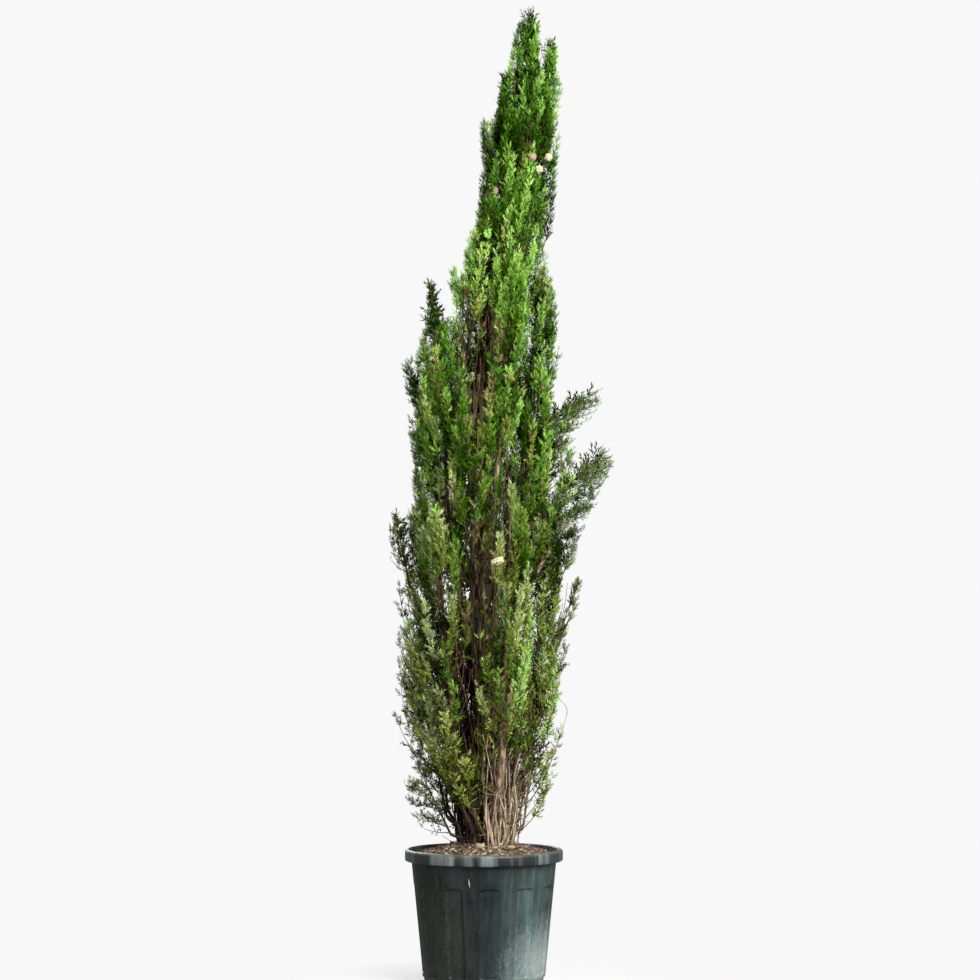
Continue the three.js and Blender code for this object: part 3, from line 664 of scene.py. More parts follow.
def pot_material():
    """Moulded polypropylene, dark grey-green: satin where clean, with run marks, dust and soil stains, and
    painted light.
    """
    colours = dict(POT_COLOURS)
    material = new_material("polypropylene_dusty", colours["clean"], roughness=0.42, ior=1.49, shine=0.3)
    tree = material.node_tree
    place = add_node(tree, "TexCoord", output="Object")
    facing = add_node(tree, "NewGeometry", output="Normal")
    shares = dict(
        height=add_node(tree, "SeparateXYZ", dict(Vector=place), "Z"),
        up=add_node(tree, "SeparateXYZ", dict(Vector=facing), "Z"))
    for name, grain in POT_GRAIN.items():
        shares[name] = grain_pattern(tree, place, **grain)
    for name, mark in POT_MARKS.items():
        shares[name] = spot_share(tree, place, **mark)
    for name, (pattern, *ends) in POT_RANGES.items():
        shares[name] = add_node(tree, "MapRange", dict(enumerate([shares[pattern], *ends])))
    for name, (first, operation, second) in POT_PAIRS.items():
        shares[name] = add_node(tree, "Math", {0: shares[first], 1: shares[second]}, operation=operation)
    shares["dusting"] = add_node(tree, "MapRange", dict(enumerate([shares["all_dust"], *DUSTING])))
    # The rim's front gets a painted reflection: dark and pale bands over its own colour
    bands = {0: shares["rim_reflection_bands"], 6: colours["rim_reflection_dark"], 7: colours["rim_reflection_pale"]}
    rim = {0: shares["rim_reflection_share"], 6: colours["rim"], 7: add_node(tree, "Mix", bands, **COLOUR_MIX)}
    colours["rim_with_reflections"] = add_node(tree, "Mix", rim, **COLOUR_MIX)
    finish = colours["deep"]
    for share, layer in POT_LAYERS.items():
        finish = add_node(tree, "Mix", {0: shares[share], 6: finish, 7: colours[layer]}, **COLOUR_MIX)
    feed(tree, "Base Color", finish)
    feed(tree, "Roughness", shares["roughness"])
    feed(tree, "Normal", add_node(tree, "Bump", dict(Height=shares["grit"], Strength=0.15, Distance=0.001)))
    return material


def soil_material():
    """Damp peat and bark fines: dark crumbs with paler bits among them."""
    material = new_material("peat_soil", "#4d3b2c", roughness=0.95, shine=0.2)
    tree = material.node_tree
    place = add_node(tree, "TexCoord", output="Object")
    crumbs = grain_pattern(tree, place, [CRUMBS["size"]] * 3, detail=6, roughness=0.7)
    tones = {0: crumbs, 6: CRUMBS["dark"], 7: CRUMBS["pale"]}
    feed(tree, "Base Color", add_node(tree, "Mix", tones, **COLOUR_MIX))
    feed(tree, "Normal", add_node(tree, "Bump", dict(Height=crumbs, Strength=0.8, Distance=0.004)))
    return material


# Meshes


def add_piece(name, mesh, materials):
    """A piece at the origin that rides on the plant."""
    for material in materials:
        mesh.materials.append(material)
    piece = bpy.data.objects.new(name, mesh)
    bpy.context.scene.collection.objects.link(piece)
    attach(piece, BODY)
    return piece


def mesh_from_form(name, form, smooth=True):
    for face in form.faces:
        face.smooth = smooth
    mesh = bpy.data.meshes.new(name)
    form.to_mesh(mesh)
    form.free()
    return mesh


def mesh_from_arrays(name, spots, faces, slots):
    """A mesh of triangles from arrays of points, corners and material numbers."""
    mesh = bpy.data.meshes.new(name)
    mesh.vertices.add(len(spots))
    mesh.vertices.foreach_set("co", spots.astype(np.float32).ravel())
    mesh.loops.add(faces.size)
    mesh.loops.foreach_set("vertex_index", faces.astype(np.int32).ravel())
    mesh.polygons.add(len(faces))
    mesh.polygons.foreach_set("loop_start", np.arange(0, faces.size, 3, dtype=np.int32))
    mesh.polygons.foreach_set("material_index", slots.astype(np.int32))
    mesh.update(calc_edges=True)
    return mesh


def form_arrays(form):
    """The points and triangles of a bmesh, which is then freed."""
    bmesh.ops.triangulate(form, faces=form.faces)
    form.verts.index_update()
    spots = np.array([vert.co for vert in form.verts])
    faces = np.array([[vert.index for vert in face.verts] for face in form.faces])
    form.free()
    return spots, faces


def joined(parts):
    """Points and triangles of several parts as one."""
    starts = np.cumsum([0] + [len(spots) for spots, _ in parts[:-1]])
    return (
        np.concatenate([spots for spots, _ in parts]),
        np.concatenate([faces + start for (_, faces), start in zip(parts, starts)]))


def turned(profile, steps):
    """A profile of (radius, height) points spun about Z."""
    form = bmesh.new()
    verts = [form.verts.new((radius, 0, height)) for radius, height in profile]
    edges = [form.edges.new(pair) for pair in zip(verts, verts[1:])]
    bmesh.ops.spin(
        form, geom=verts + edges, cent=(0, 0, 0), axis=(0, 0, 1), dvec=(0, 0, 0), angle=math.tau,
        steps=steps, use_merge=True)
    bmesh.ops.remove_doubles(form, verts=form.verts, dist=1e-5)
    bmesh.ops.recalc_face_normals(form, faces=form.faces)
    return form


def arc(centre_x, centre_z, radius, start, end, steps):
    """Points of a round stretch of a profile, between two angles in degrees."""
    angles = [math.radians(lerp(start, end, i / steps)) for i in range(steps + 1)]
    return [(centre_x + radius * math.cos(a), centre_z + radius * math.sin(a)) for a in angles]


# The pot


def pot_radius(height):
    return lerp(FOOT_RADIUS, MOUTH_RADIUS, height / (POT_HEIGHT - RIM["height"]))


def pot_profile():
    under = POT_HEIGHT - RIM["height"]
    band = FOOT_BAND["height"]
    setback = FOOT_BAND["setback"]
    chamfer = FOOT_BAND["chamfer"]
    wall_low = band + setback
    rounded = np.linspace(-LEDGE_OVER, FLUTE["width"] / 4, LEDGE_RINGS)
    ledges = np.concatenate([FLUTE["bottom"] + rounded, FLUTE["top"] - rounded])
    wall = np.sort(np.concatenate([np.linspace(wall_low, under, WALL_RINGS), ledges]))
    top = RIM["top_round"]
    low = RIM["low_round"]
    inner = RIM_RADIUS - RIM["lip"]
    return (
        [(0, 0), (pot_radius(0) - setback - chamfer, 0), (pot_radius(0) - setback, chamfer)]
        + [(pot_radius(band) - setback, band)]
        + [(pot_radius(height), height) for height in wall]
        + arc(RIM_RADIUS - low, under + low, low, -90, 0, RIM["low_steps"])
        + arc(RIM_RADIUS - top, POT_HEIGHT - top, top, 0, 90, RIM["top_steps"])
        + arc(inner + low, POT_HEIGHT - low, low, 90, 180, RIM["low_steps"])
        + [(MOUTH_RADIUS - WALL, under), (FOOT_RADIUS - WALL, FLOOR), (0, FLOOR)]
    )


def flute_depth(angle, height):
    """How far the wall is sunk at an angle and a height: flat in a flute, with round upper corners."""
    pitch = math.tau / FLUTE["count"]
    off = (angle - math.radians(FLUTE["turn"]) + pitch / 2) % pitch - pitch / 2
    half = FLUTE["width"] / 2
    corner = half * FLUTE["corner"]
    across = abs(off) * pot_radius(height)
    out_x = max(across - (half - corner), 0)
    out_z = max(height - (FLUTE["top"] - corner), FLUTE["bottom"] + corner - height, 0)
    out = math.hypot(out_x, out_z)
    edge = lerp(FLUTE["side"], FLUTE["edge"], out_z / out) if out else FLUTE["side"]
    share = min(max((corner - out) / edge, 0), 1)
    return FLUTE["depth"] * share * share * (3 - 2 * share)


def make_pot():
    form = turned(pot_profile(), POT_STEPS)
    for vert in form.verts:
        radius = math.hypot(vert.co.x, vert.co.y)
        on_wall = FLUTE["bottom"] < vert.co.z < FLUTE["top"] and radius > pot_radius(vert.co.z) - WALL / 2
        if on_wall:
            sunk = flute_depth(math.atan2(vert.co.y, vert.co.x), vert.co.z)
            vert.co.xy *= (radius - sunk) / radius
    mesh = mesh_from_form("pot_body", form)
    piece = add_piece("pot_body", mesh, [pot_material()])
    cut_drains(piece)
    mesh.set_sharp_from_angle(angle=math.radians(POT_SHARP))
    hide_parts("pot")


def cut_drains(piece):
    """Drain notches open the foot from the side, and leave the middle of the underside whole."""
    cutters = bmesh.new()
    for i in range(DRAIN["count"]):
        size = Matrix.Diagonal((DRAIN["depth"] * 2, DRAIN["width"], DRAIN["height"] * 2, 1))
        out = Matrix.Translation((FOOT_RADIUS, 0, 0))
        turn = Matrix.Rotation(math.radians(DRAIN["turn"] + 360 / DRAIN["count"] * i), 4, "Z")
        bmesh.ops.create_cube(cutters, size=1, matrix=turn @ out @ size)
    cutter = bpy.data.objects.new("drain_cutter", mesh_from_form("drain_cutter", cutters, False))
    bpy.context.scene.collection.objects.link(cutter)
    cut = piece.modifiers.new("drains", "BOOLEAN")
    cut.operation = "DIFFERENCE"
    cut.solver = "EXACT"
    cut.object = cutter
    bpy.context.view_layer.update()
    made = bpy.data.meshes.new_from_object(piece.evaluated_get(bpy.context.evaluated_depsgraph_get()))
    piece.modifiers.clear()
    piece.data.clear_geometry()
    form = bmesh.new()
    form.from_mesh(made)
    form.to_mesh(piece.data)
    form.free()
    bpy.data.meshes.remove(made)
    bpy.data.objects.remove(cutter)


# The soil


def soil_height(radius):
    """The mound's height at a distance from the pot's middle."""
    radii = [0, SOIL_SEAT_RADIUS, SOIL_SHOULDER["radius"], SOIL_EDGE_RADIUS]
    return np.interp(radius, radii, [SOIL_TOP, SOIL_TOP, SOIL_SHOULDER["height"], SOIL_EDGE])


def make_soil():
    count = SOIL_MESH["rings"]
    rings = [SOIL_EDGE_RADIUS * (1 - i / count) for i in range(count)]
    low = FLOOR + SEAT_GAP
    profile = [(0, low), (SOIL_FOOT_RADIUS, low), (SOIL_EDGE_RADIUS, SOIL_EDGE - SOIL_EDGE_DEPTH)]
    profile += [(radius, float(soil_height(radius))) for radius in rings] + [(0, SOIL_TOP)]
    form = turned(profile, SOIL_MESH["steps"])
    for vert in form.verts:
        on_mound = vert.co.z > SOIL_EDGE - SOIL_EDGE_DEPTH / 2
        if on_mound and vert.co.xy.length > SOIL_SEAT_RADIUS / 2:
            vert.co.z += SOIL_LUMPS["height"] * noise.noise(vert.co * SOIL_LUMPS["pitch"])
    piece = add_piece("soil_mound", mesh_from_form("soil_mound", form), [soil_material()])
    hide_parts("soil")
    make_chips()


def chip_kinds():
    """Splinters of bark: flat blocks with their corners knocked about."""
    kinds = []
    for _ in range(CHIP["kinds"]):
        form = bmesh.new()
        bmesh.ops.create_cube(form, size=1)
        for vert in form.verts:
            vert.co += Vector(random.uniform(-CHIP["knock"], CHIP["knock"], 3))
        kinds.append(form_arrays(form))
    return kinds


def make_chips():
    """Chips lie on the mound in all directions, a little tilted. The large ones are pale."""
    kinds = chip_kinds()
    shares = [share for _, share in CHIP_COLOURS.values()]
    pale = list(CHIP_COLOURS).index("chip_pale")
    parts, slots = [], []
    for number in range(CHIP["count"]):
        large = number < LARGE_CHIP["count"]
        rule = LARGE_CHIP if large else CHIP
        radius = (SOIL_EDGE_RADIUS - CHIP["margin"]) * math.sqrt(random.uniform(*rule["area"]))
        angle = random.normal(rule["turn"], rule["stray"]) if large else random.uniform(0, math.tau)
        size = random.uniform(*rule["sizes"])
        points, corners = kinds[number % len(kinds)]
        lay = Matrix.Rotation(random.uniform(0, math.tau), 3, "Z")
        lay = lay @ Matrix.Rotation(random.normal(0, CHIP["lean"]), 3, "X")
        lay = lay @ Matrix.Rotation(random.normal(0, CHIP["roll"]), 3, "Y")
        scaled = points * size * np.array([CHIP["length"], CHIP["width"], CHIP["thick"]])
        height = soil_height(radius) + random.uniform(0, CHIP["lift"])
        place = np.array([radius * math.cos(angle), radius * math.sin(angle), height])
        parts.append((scaled @ np.array(lay).T + place, corners))
        colour = pale if large else random.choice(len(shares), p=shares)
        slots.append(np.full(len(corners), colour))
    mesh = mesh_from_arrays("bark_chips", *joined(parts), np.concatenate(slots))
    materials = [
        new_material(name, colour, roughness=0.9, shine=0.25) for name, (colour, _) in CHIP_COLOURS.items()]
    add_piece("bark_chips", mesh, materials)


# The layout of the plant, by the source's rule


def scatter(number, step):
    """Evenly scattered numbers from -1 to 1."""
    return 2 * ((SEED + number * step) % 1) - 1


def trunk_point(way):
    """A point of the trunk's curve, which passes evenly through the path's points."""
    ends = np.vstack([2 * TRUNK_PATH[0] - TRUNK_PATH[1], TRUNK_PATH, 2 * TRUNK_PATH[-1] - TRUNK_PATH[-2]])
    i = min(int(way), len(TRUNK_PATH) - 2)
    t = way - i
    before, low, high, after = ends[i:i + 4]
    leave = (high - before) / 2
    arrive = (after - low) / 2
    return (
        (2 * low - 2 * high + leave + arrive) * t ** 3
        + (3 * high - 3 * low - 2 * leave - arrive) * t ** 2 + leave * t + low)


TRUNK_WAYS = np.linspace(0, len(TRUNK_PATH) - 1, TRUNK["samples"])
TRUNK_POINTS = np.array([trunk_point(way) for way in TRUNK_WAYS])
TRUNK_LENGTHS = np.append(0, np.cumsum(np.linalg.norm(np.diff(TRUNK_POINTS, axis=0), axis=1)))


def trunk_at(height):
    """The trunk's middle at a height."""
    return np.array([np.interp(height, TRUNK_POINTS[:, 2], TRUNK_POINTS[:, k]) for k in range(3)])


def trunk_radius(rise):
    share = rise / TRUNK_LENGTHS[-1]
    flare = TRUNK["flare"] * math.exp(-rise / TRUNK["flare_height"])
    return lerp(TRUNK["base"], TRUNK["tip"], share) + flare


def sideways(turn):
    return np.array([math.cos(math.radians(turn)), math.sin(math.radians(turn)), 0])


def beside(height, ring, turn):
    """A point at a height, a distance and a turn from the trunk's middle."""
    spot = trunk_at(height) + ring * sideways(turn)
    spot[2] = height
    return spot


def lay_out_plumes():
    plumes = []
    for row in ROWS:
        alone = len(row["turns"]) == 1
        for i, row_turn in enumerate(row["turns"]):
            stray = {
                kind: 0 if alone else STRAY[kind] * scatter(len(plumes), STEPS[kind]) for kind in STRAY}
            turn = row_turn + stray["turn"]
            foot = beside(row["foot"] + stray["foot"], row["foot_ring"], turn)
            tip = beside(row["tip"] + stray["tip"], row["tip_ring"] + stray["ring"], turn)
            own = {key: row[key][i] if key in row else usual for key, usual in PLUME_USUAL.items()}
            plumes.append(dict(
                row, row=row["name"], name=row["name"] if alone else f"{row['name']}_{i + 1}", turn=turn,
                foot=foot, tip=tip, radius=row["radius"] * (1 + stray["radius"]), axis=unit(tip - foot),
                length=np.linalg.norm(tip - foot) * row.get("short", 1), **own))
    return plumes


def bent(start, bend, end, ways):
    """Points of the curve that leaves start towards bend and arrives at end from it."""
    ways = np.asarray(ways)[:, None]
    return (1 - ways) ** 2 * start + 2 * ways * (1 - ways) * bend + ways ** 2 * end


def carrier_points(plume, steps):
    """The limb that carries a plume, from the trunk's middle to the plume's foot."""
    leave = trunk_at(plume["foot"][2] - plume["drop"])
    bend = plume["foot"] - BOUGH["bend"] * plume["drop"] * plume["axis"]
    return bent(leave, bend, plume["foot"], np.linspace(0, 1, steps + 1))


def space_radius(plume, share):
    """How wide a plume's own space is at a share of its length."""
    swell = (np.clip(share, 0, 1) / SPACE["widest"]) ** SPACE["point"]
    sharp = SPACE["point"] * (1 / SPACE["widest"] - 1)
    narrow = (np.clip(1 - share, 0, 1) / (1 - SPACE["widest"])) ** sharp
    return plume["radius"] * swell * narrow


def bow_at(plume, shares):
    """How far a plume's stem stands off its line at shares of its length: bowed in and up, or aside."""
    way = np.array([0, 0, BOW_RISE]) - sideways(plume["turn"])
    bowed = np.multiply.outer(plume.get("bow", 0) * 4 * shares * (1 - shares), way)
    return bowed + np.multiply.outer(plume["aside"] * shares, np.array([1, 0, 0]))


def in_plume(plume, share, reach, turn):
    """A point in a plume, at a share of its length and of its space's radius, on the side of a turn."""
    side = sideways(turn)
    side = unit(side - side.dot(plume["axis"]) * plume["axis"])
    middle = plume["foot"] + share * plume["length"] * plume["axis"] + bow_at(plume, share)
    return middle + reach * space_radius(plume, share) * side


# Bark: the trunk, the boughs, and the thin stems and twigs


def unit_tube(sides, steps):
    """The points and triangles of a closed tube of radius 1, with a ring at each whole step along Z."""
    form = bmesh.new()
    bmesh.ops.create_grid(form, x_segments=sides, y_segments=steps, size=0.5)
    for vert in form.verts:
        angle = math.tau * (vert.co.x + 0.5)
        vert.co = (math.cos(angle), math.sin(angle), round((vert.co.y + 0.5) * steps))
    bmesh.ops.remove_doubles(form, verts=form.verts, dist=1e-4)
    bmesh.ops.holes_fill(form, edges=form.edges, sides=0)
    bmesh.ops.recalc_face_normals(form, faces=form.faces)
    return form_arrays(form)


def along_path(tube, points, radii):
    """A unit tube laid along a path, with its radius at each of the path's points."""
    spots, faces = tube
    step = spots[:, 2].astype(int)
    along = unit(np.gradient(points, axis=0))
    first = unit(np.cross(along, (0, 1, 0)))
    second = np.cross(along, first)
    out = spots[:, :1] * first[step] + spots[:, 1:2] * second[step]
    return points[step] + radii[step, None] * out, faces


def bark_relief(spot):
    """Ridges that run up a limb, from -1 to 1."""
    long = Vector((spot[0] / BARK["across"], spot[1] / BARK["across"], spot[2] / BARK["along"]))
    return noise.noise(long) + BARK["fine_depth"] * noise.noise(long * BARK["fine_pitch"])


def rough_limb(tube, points, radii):
    """A limb with the bark's ridges and furrows in its surface."""
    spots, faces = along_path(tube, points, radii)
    middles = points[tube[0][:, 2].astype(int)]
    relief = np.array([[bark_relief(spot)] for spot in spots])
    return middles + (spots - middles) * (1 + BARK["depth"] * relief), faces


def add_limbs(name, parts, barks, slots=None, sharp_ends=False):
    """A piece of bark, joined from limbs. sharp_ends keeps the shading of their ends off their sides."""
    spots, faces = joined(parts)
    mesh = mesh_from_arrays(name, spots, faces, np.zeros(len(faces)) if slots is None else slots)
    mesh.shade_smooth()
    if sharp_ends:
        mesh.set_sharp_from_angle(angle=math.radians(LIMB_SHARP))
    return add_piece(name, mesh, barks)


def make_trunk(bark):
    rises = np.linspace(0, TRUNK_LENGTHS[-1], TRUNK["steps"] + 1)
    points = np.array([[np.interp(r, TRUNK_LENGTHS, TRUNK_POINTS[:, k]) for k in range(3)] for r in rises])
    radii = np.array([trunk_radius(rise) for rise in rises])
    tube = unit_tube(TRUNK["sides"], TRUNK["steps"])
    spots, faces = rough_limb(tube, points, radii)
    spots[tube[0][:, 2] == 0, 2] = points[0, 2]
    piece = add_limbs("trunk_bark", [(spots, faces)], [bark])
    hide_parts("trunk")


def limb_radii(plume, steps):
    """The radii along a plume's limb, from the trunk to the plume's foot."""
    return plume["limb"] * (BOUGH["swell"] - BOUGH["taper"] * np.linspace(0, 1, steps + 1))


def is_on_shaded_side(plume):
    """Whether a plume's limb is on the left, where its bark is darker as painted shade, as 0 or 1."""
    return int(plume["foot"][0] < BARK_SIDES["shaded_to"])


def make_boughs(plumes, barks):
    carried = [plume for plume in plumes if plume.get("bough")]
    steps = BOUGH["steps"]
    tube = unit_tube(BOUGH["sides"], steps)
    parts = [rough_limb(tube, carrier_points(plume, steps), limb_radii(plume, steps)) for plume in carried]
    # boughs on the left take the darker bark, which is painted shade
    slots = np.repeat([is_on_shaded_side(plume) for plume in carried], len(tube[1]))
    piece = add_limbs("bough_bark", parts, [barks["old"], barks["dark"]], slots, sharp_ends=True)
    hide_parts(*[f"{plume['name']}_bough" for plume in carried])


def swayed(points):
    """A path with a slow sway, so that no thin stem is dead straight."""
    ways = np.linspace(0, 1, len(points))
    phases = random.uniform(0, math.tau, 2)
    sizes = random.normal(0, STEM_TUBE["sway"], 2)
    moved = points.copy()
    for k in range(2):
        moved[:, k] += sizes[k] * (np.sin(ways * STEM_TUBE["waves"] + phases[k]) - math.sin(phases[k]))
        moved[1:, k] += random.normal(0, STEM_TUBE["kink"], len(points) - 1)
    return moved


def stem_route(start, bend, end, radius, shade):
    """A thin stem's middle, its radius at the foot and its bark."""
    points = swayed(bent(start, bend, end, np.linspace(0, 1, STEM_TUBE["steps"] + 1)))
    return dict(points=points, radius=radius * math.exp(random.normal(0, STEM_TUBE["vary"])), shade=shade)


def base_routes():
    """The clump of thin stems that rises round the trunk's foot."""
    routes = []
    rule = BASE_STEMS
    near = trunk_radius(0) * rule["near"]
    for number in range(rule["count"]):
        turn = number * TURN_OF_LEAVES
        ring = lerp(near, rule["ring"], math.sqrt(random.uniform(0, 1)))
        start = beside(SOIL_TOP, ring, turn)
        start[2] = soil_height(math.hypot(start[0], start[1])) - rule["sunk"]
        height = random.uniform(rule["low"], rule["high"])
        out = ring + rule["spread"] * random.uniform(*rule["spreads"])
        end = beside(height, out, turn + random.normal(0, rule["end_stray"]))
        bend_turn = turn + random.normal(0, rule["bend_stray"])
        bend = beside(lerp(SOIL_TOP, height, rule["bend"]), ring, bend_turn)
        routes.append(stem_route(start, bend, end, rule["radius"], stem_shade(start[0])))
    return routes


def inner_routes():
    """Stems that leave the trunk all the way up and rise beside it."""
    routes = []
    rule = INNER_STEMS
    for number in range(rule["count"]):
        share = (number + 0.5) / rule["count"]
        height = lerp(rule["low"], rule["high"], share)
        turn = number * TURN_OF_LEAVES
        ring = rule["ring"] * random.uniform(*rule["rings"]) * lerp(1, rule["narrow"], share)
        end = beside(height + rule["rise"] * random.uniform(*rule["rises"]), ring, turn)
        bend = beside(height + rule["bend_rise"] * rule["rise"], ring * rule["bend_ring"], turn)
        # low stems that end on the left take the darker bark, painted shade; the rest the paler one, partly
        # painted light
        shade = "inner" if height > BARK_SIDES["shaded_below"] or end[0] > 0 else "dark"
        routes.append(stem_route(trunk_at(height), bend, end, rule["radius"], shade))
    return routes


def foot_twigs(routes):
    """Short dead twigs that leave the stems of the clump in all directions."""
    rule = FOOT_TWIGS
    twigs = []
    for number in range(rule["count"]):
        route = routes[number % len(routes)]
        points = route["points"]
        root = points[int(lerp(rule["low"], rule["high"], random.uniform()) * len(points))]
        way = random.normal(0, 1, 3) + np.array([0, 0, rule["rise"]])
        end = root + unit(way) * rule["length"] * random.uniform(*rule["lengths"])
        end[2] = max(end[2], SOIL_TOP)
        bend = (root + end) / 2 + random.normal(0, rule["bend"] * rule["length"], 3)
        twigs.append(dict(root=root, bend=bend, end=end, shade=route["shade"]))
    return twigs


def stem_shade(x):
    """Which bark a stem of the clump has, by the side that it stands on: darker on the left as painted
    shade, and pale on the right, partly painted light.
    """
    x = x + random.normal(0, BARK_SIDES["blend"])
    return "pale" if x > BARK_SIDES["pale_from"] else "dark" if x < BARK_SIDES["shaded_to"] else "young"


def make_thin_stems(routes, twigs, barks):
    """The thin stems, and the dead twigs round the foot."""
    tube = unit_tube(STEM_TUBE["sides"], STEM_TUBE["steps"])
    parts, slots = [], []
    for route in routes:
        radii = route["radius"] * np.linspace(1, STEM_TUBE["tip"], len(route["points"]))
        parts.append(along_path(tube, route["points"], radii))
        slots.append(np.full(len(tube[1]), STEM_BARKS.index(route["shade"])))
    tube = unit_tube(TWIG["sides"], TWIG["steps"])
    for twig in twigs:
        parts.append(twig_tube(tube, twig, FOOT_TWIGS["radius"]))
        slots.append(np.full(len(tube[1]), STEM_BARKS.index(twig["shade"])))
    add_limbs("thin_stems", parts, barks, np.concatenate(slots))


def stem_sprays(routes, rule, chances):
    """Short sprays on the upper part of thin stems, which fill the inside of the crown."""
    grown = []
    choices = [TINT_NUMBERS[name] for name in chances]
    for route in routes:
        points = route["points"]
        count = rule["sprays"]
        ways = np.sort(random.uniform(rule["start"], 1, count))
        steps = np.linspace(0, 1, len(points))
        roots = np.stack([np.interp(ways, steps, points[:, k]) for k in range(3)], axis=1)
        along = unit(np.gradient(points, axis=0))[np.round(ways * (len(points) - 1)).astype(int)]
        size = INNER_SPRAY["length"] * rule.get("size", 1)
        lengths = size * random.uniform(*INNER_SPRAY["lengths"], count)
        tints = random.choice(choices, count, p=list(chances.values()))
        # the rule's level makes these sprays darker: painted shade inside the crown
        levels = LEVEL["middle"] + rule["level"] + random.normal(0, LEVEL["by_spray"], count)
        ways_out = spray_ways(along, INNER_SPRAY["wild"])
        kept = is_clear(roots, roots + ways_out * lengths[:, None])
        fine = np.zeros(count, dtype=bool)
        grown.append([part[kept] for part in (roots, ways_out, lengths, tints, levels, fine)])
    return grown


# Foliage


def spray_kinds(rule):
    """Sprays one unit long, of pointed branchlets that fork. Each comes with its points, its triangles, and
    how many shades lighter each triangle is for standing nearer to the tip, which is painted light."""
    kinds = []
    for kind in range(SPRAY["kinds"]):
        blades = [(Vector((0, 0, 0)), Vector((0, 0, 1)), SPRAY["axis"])]
        for number in range(rule["branchlets"]):
            share = (number + 0.5) / rule["branchlets"]
            turn = Matrix.Rotation(math.radians(number * TURN_OF_LEAVES + kind * SPRAY["turn"]), 3, "Z")
            lean = Matrix.Rotation(math.radians(SPRAY["lean"] * random.uniform(*SPRAY["leans"])), 3, "Y")
            length = lerp(SPRAY["long"], SPRAY["short"], share) * random.uniform(*SPRAY["lengths"])
            root = Vector((0, 0, lerp(SPRAY["low"], SPRAY["high"], share)))
            way = turn @ lean @ Vector((0, 0, length))
            fork = root + way * SPRAY["fork"]
            aside = way.cross(Vector(random.normal(size=3))).normalized() * length
            fork_tip = fork + way * SPRAY["fork_along"] + aside * SPRAY["fork_aside"]
            blades.append((root, root + way, rule["wide"]))
            if number < rule["forks"]:
                blades.append((fork, fork_tip, rule["wide"]))
        parts = [blade(*ends) for ends in blades]
        lifts = [np.full(len(faces), tip.z - 0.5) for (_, tip, _), (_, faces) in zip(blades, parts)]
        kinds.append((*joined(parts), LEVEL["tips"] * np.concatenate(lifts)))
    return kinds


def blade(root, tip, wide):
    """A branchlet from its root to its tip: two faces that meet in a ridge, widest below the middle."""
    form = bmesh.new()
    verts = bmesh.ops.create_circle(form, cap_ends=True, segments=4, radius=1)["verts"]
    ends = [vert for vert in verts if abs(vert.co.y) > 0.5]
    bmesh.ops.connect_verts(form, verts=ends)
    for vert in verts:
        if vert not in ends:
            vert.co += Vector((0, SPRAY["belly"], SPRAY["fold"]))
    way = tip - root
    turn = way.to_track_quat("Y", "Z").to_matrix().to_4x4()
    roll = Matrix.Rotation(random.uniform(0, math.tau), 4, "Y")
    size = Matrix.Diagonal((wide / 2, way.length / 2, wide / 2, 1))
    bmesh.ops.transform(form, matrix=Matrix.Translation((root + tip) / 2) @ turn @ roll @ size, verts=verts)
    return form_arrays(form)


def grow_shoots(plume):
    """The twigs of a plume: each leaves the stem a fixed turn on from the last, and bends upright."""
    rule = SHOOT_OPEN if plume.get("open") else SHOOT_DENSE
    shoots = []
    count = round(plume["shoots"] * plume["fill"])
    last = plume.get("blunt", rule["end"])
    across = Vector(sideways(plume["turn"] + 90))
    for number in range(count):
        step = (number + 0.5) / count
        share = lerp(rule["first"], rule["last"], step)
        rise = lerp(rule["low_rise"], rule["high_rise"], math.sqrt(step)) * random.uniform(*SHOOT["rises"])
        turn = plume["turn"] + number * TURN_OF_LEAVES
        faces_trunk = math.cos(math.radians(turn - plume["turn"])) < INSIDE["shoots"]
        if faces_trunk and plume["foot_ring"] > 0 and number % INSIDE["one_in"] > 0:
            continue
        skew = 1 - plume.get("skew", 0) * math.cos(math.radians(turn))
        reach = rule["reach"] * plume["spread"] * skew * random.uniform(*SHOOT["reaches"])
        lean = math.radians(lerp(*plume.get("tilt", (0, 0)), step))
        tilt = np.array(Matrix.Rotation(lean, 3, across))
        root = in_plume(plume, max(share - SHOOT["below"], SHOOT["lowest"]), rule["root"], turn)
        bend = in_plume(plume, share + SHOOT["bend_rise"] * rise, SHOOT["bend_reach"] * reach, turn)
        end = in_plume(plume, min(share + rise, last), reach, turn)
        bend, end = (in_box(root + tilt @ (spot - root)) for spot in (bend, end))
        shoots.append(dict(root=root, bend=bend, end=end))
    top = in_plume(plume, STEM_SHARE - SHOOT["top"], 0, plume["turn"])
    end = in_plume(plume, last, 0, plume["turn"])
    shoots.append(dict(root=top, bend=(top + end) / 2, end=end))
    for root, end in TUFTS.get(plume["name"], []):
        bend = (end[0], end[1], (root[2] + end[2]) / 2)
        shoots.append(dict(root=np.array(root), bend=np.array(bend), end=np.array(end), tuft=True))
    return shoots


def shoot_points(shoot, ways):
    """Points along the curve of a shoot or twig."""
    return bent(shoot["root"], shoot["bend"], shoot["end"], ways)


def shoot_tint(plume, spot):
    """A shoot's family of greens, by where it shows or else by its row's shares, and its lift in shades."""
    for mark in TINT_SPOTS:
        near = math.hypot(spot[0] - mark["x"], spot[2] - mark["z"]) < mark["reach"]
        if near and spot[1] < 0 and random.uniform() < SPOT_TAKEN:
            return mark["tint"], mark.get("lift", LEVEL["spot"])
    side = spot[0] < DULL_SIDE["x"] and DULL_SIDE["low"] < spot[2] < DULL_SIDE["high"]
    if side and random.uniform() < DULL_SIDE["share"]:
        return "dull", DULL_SIDE["lift"]
    names = list(plume["tints"])
    return names[random.choice(len(names), p=list(plume["tints"].values()))], plume.get("lift", 0)


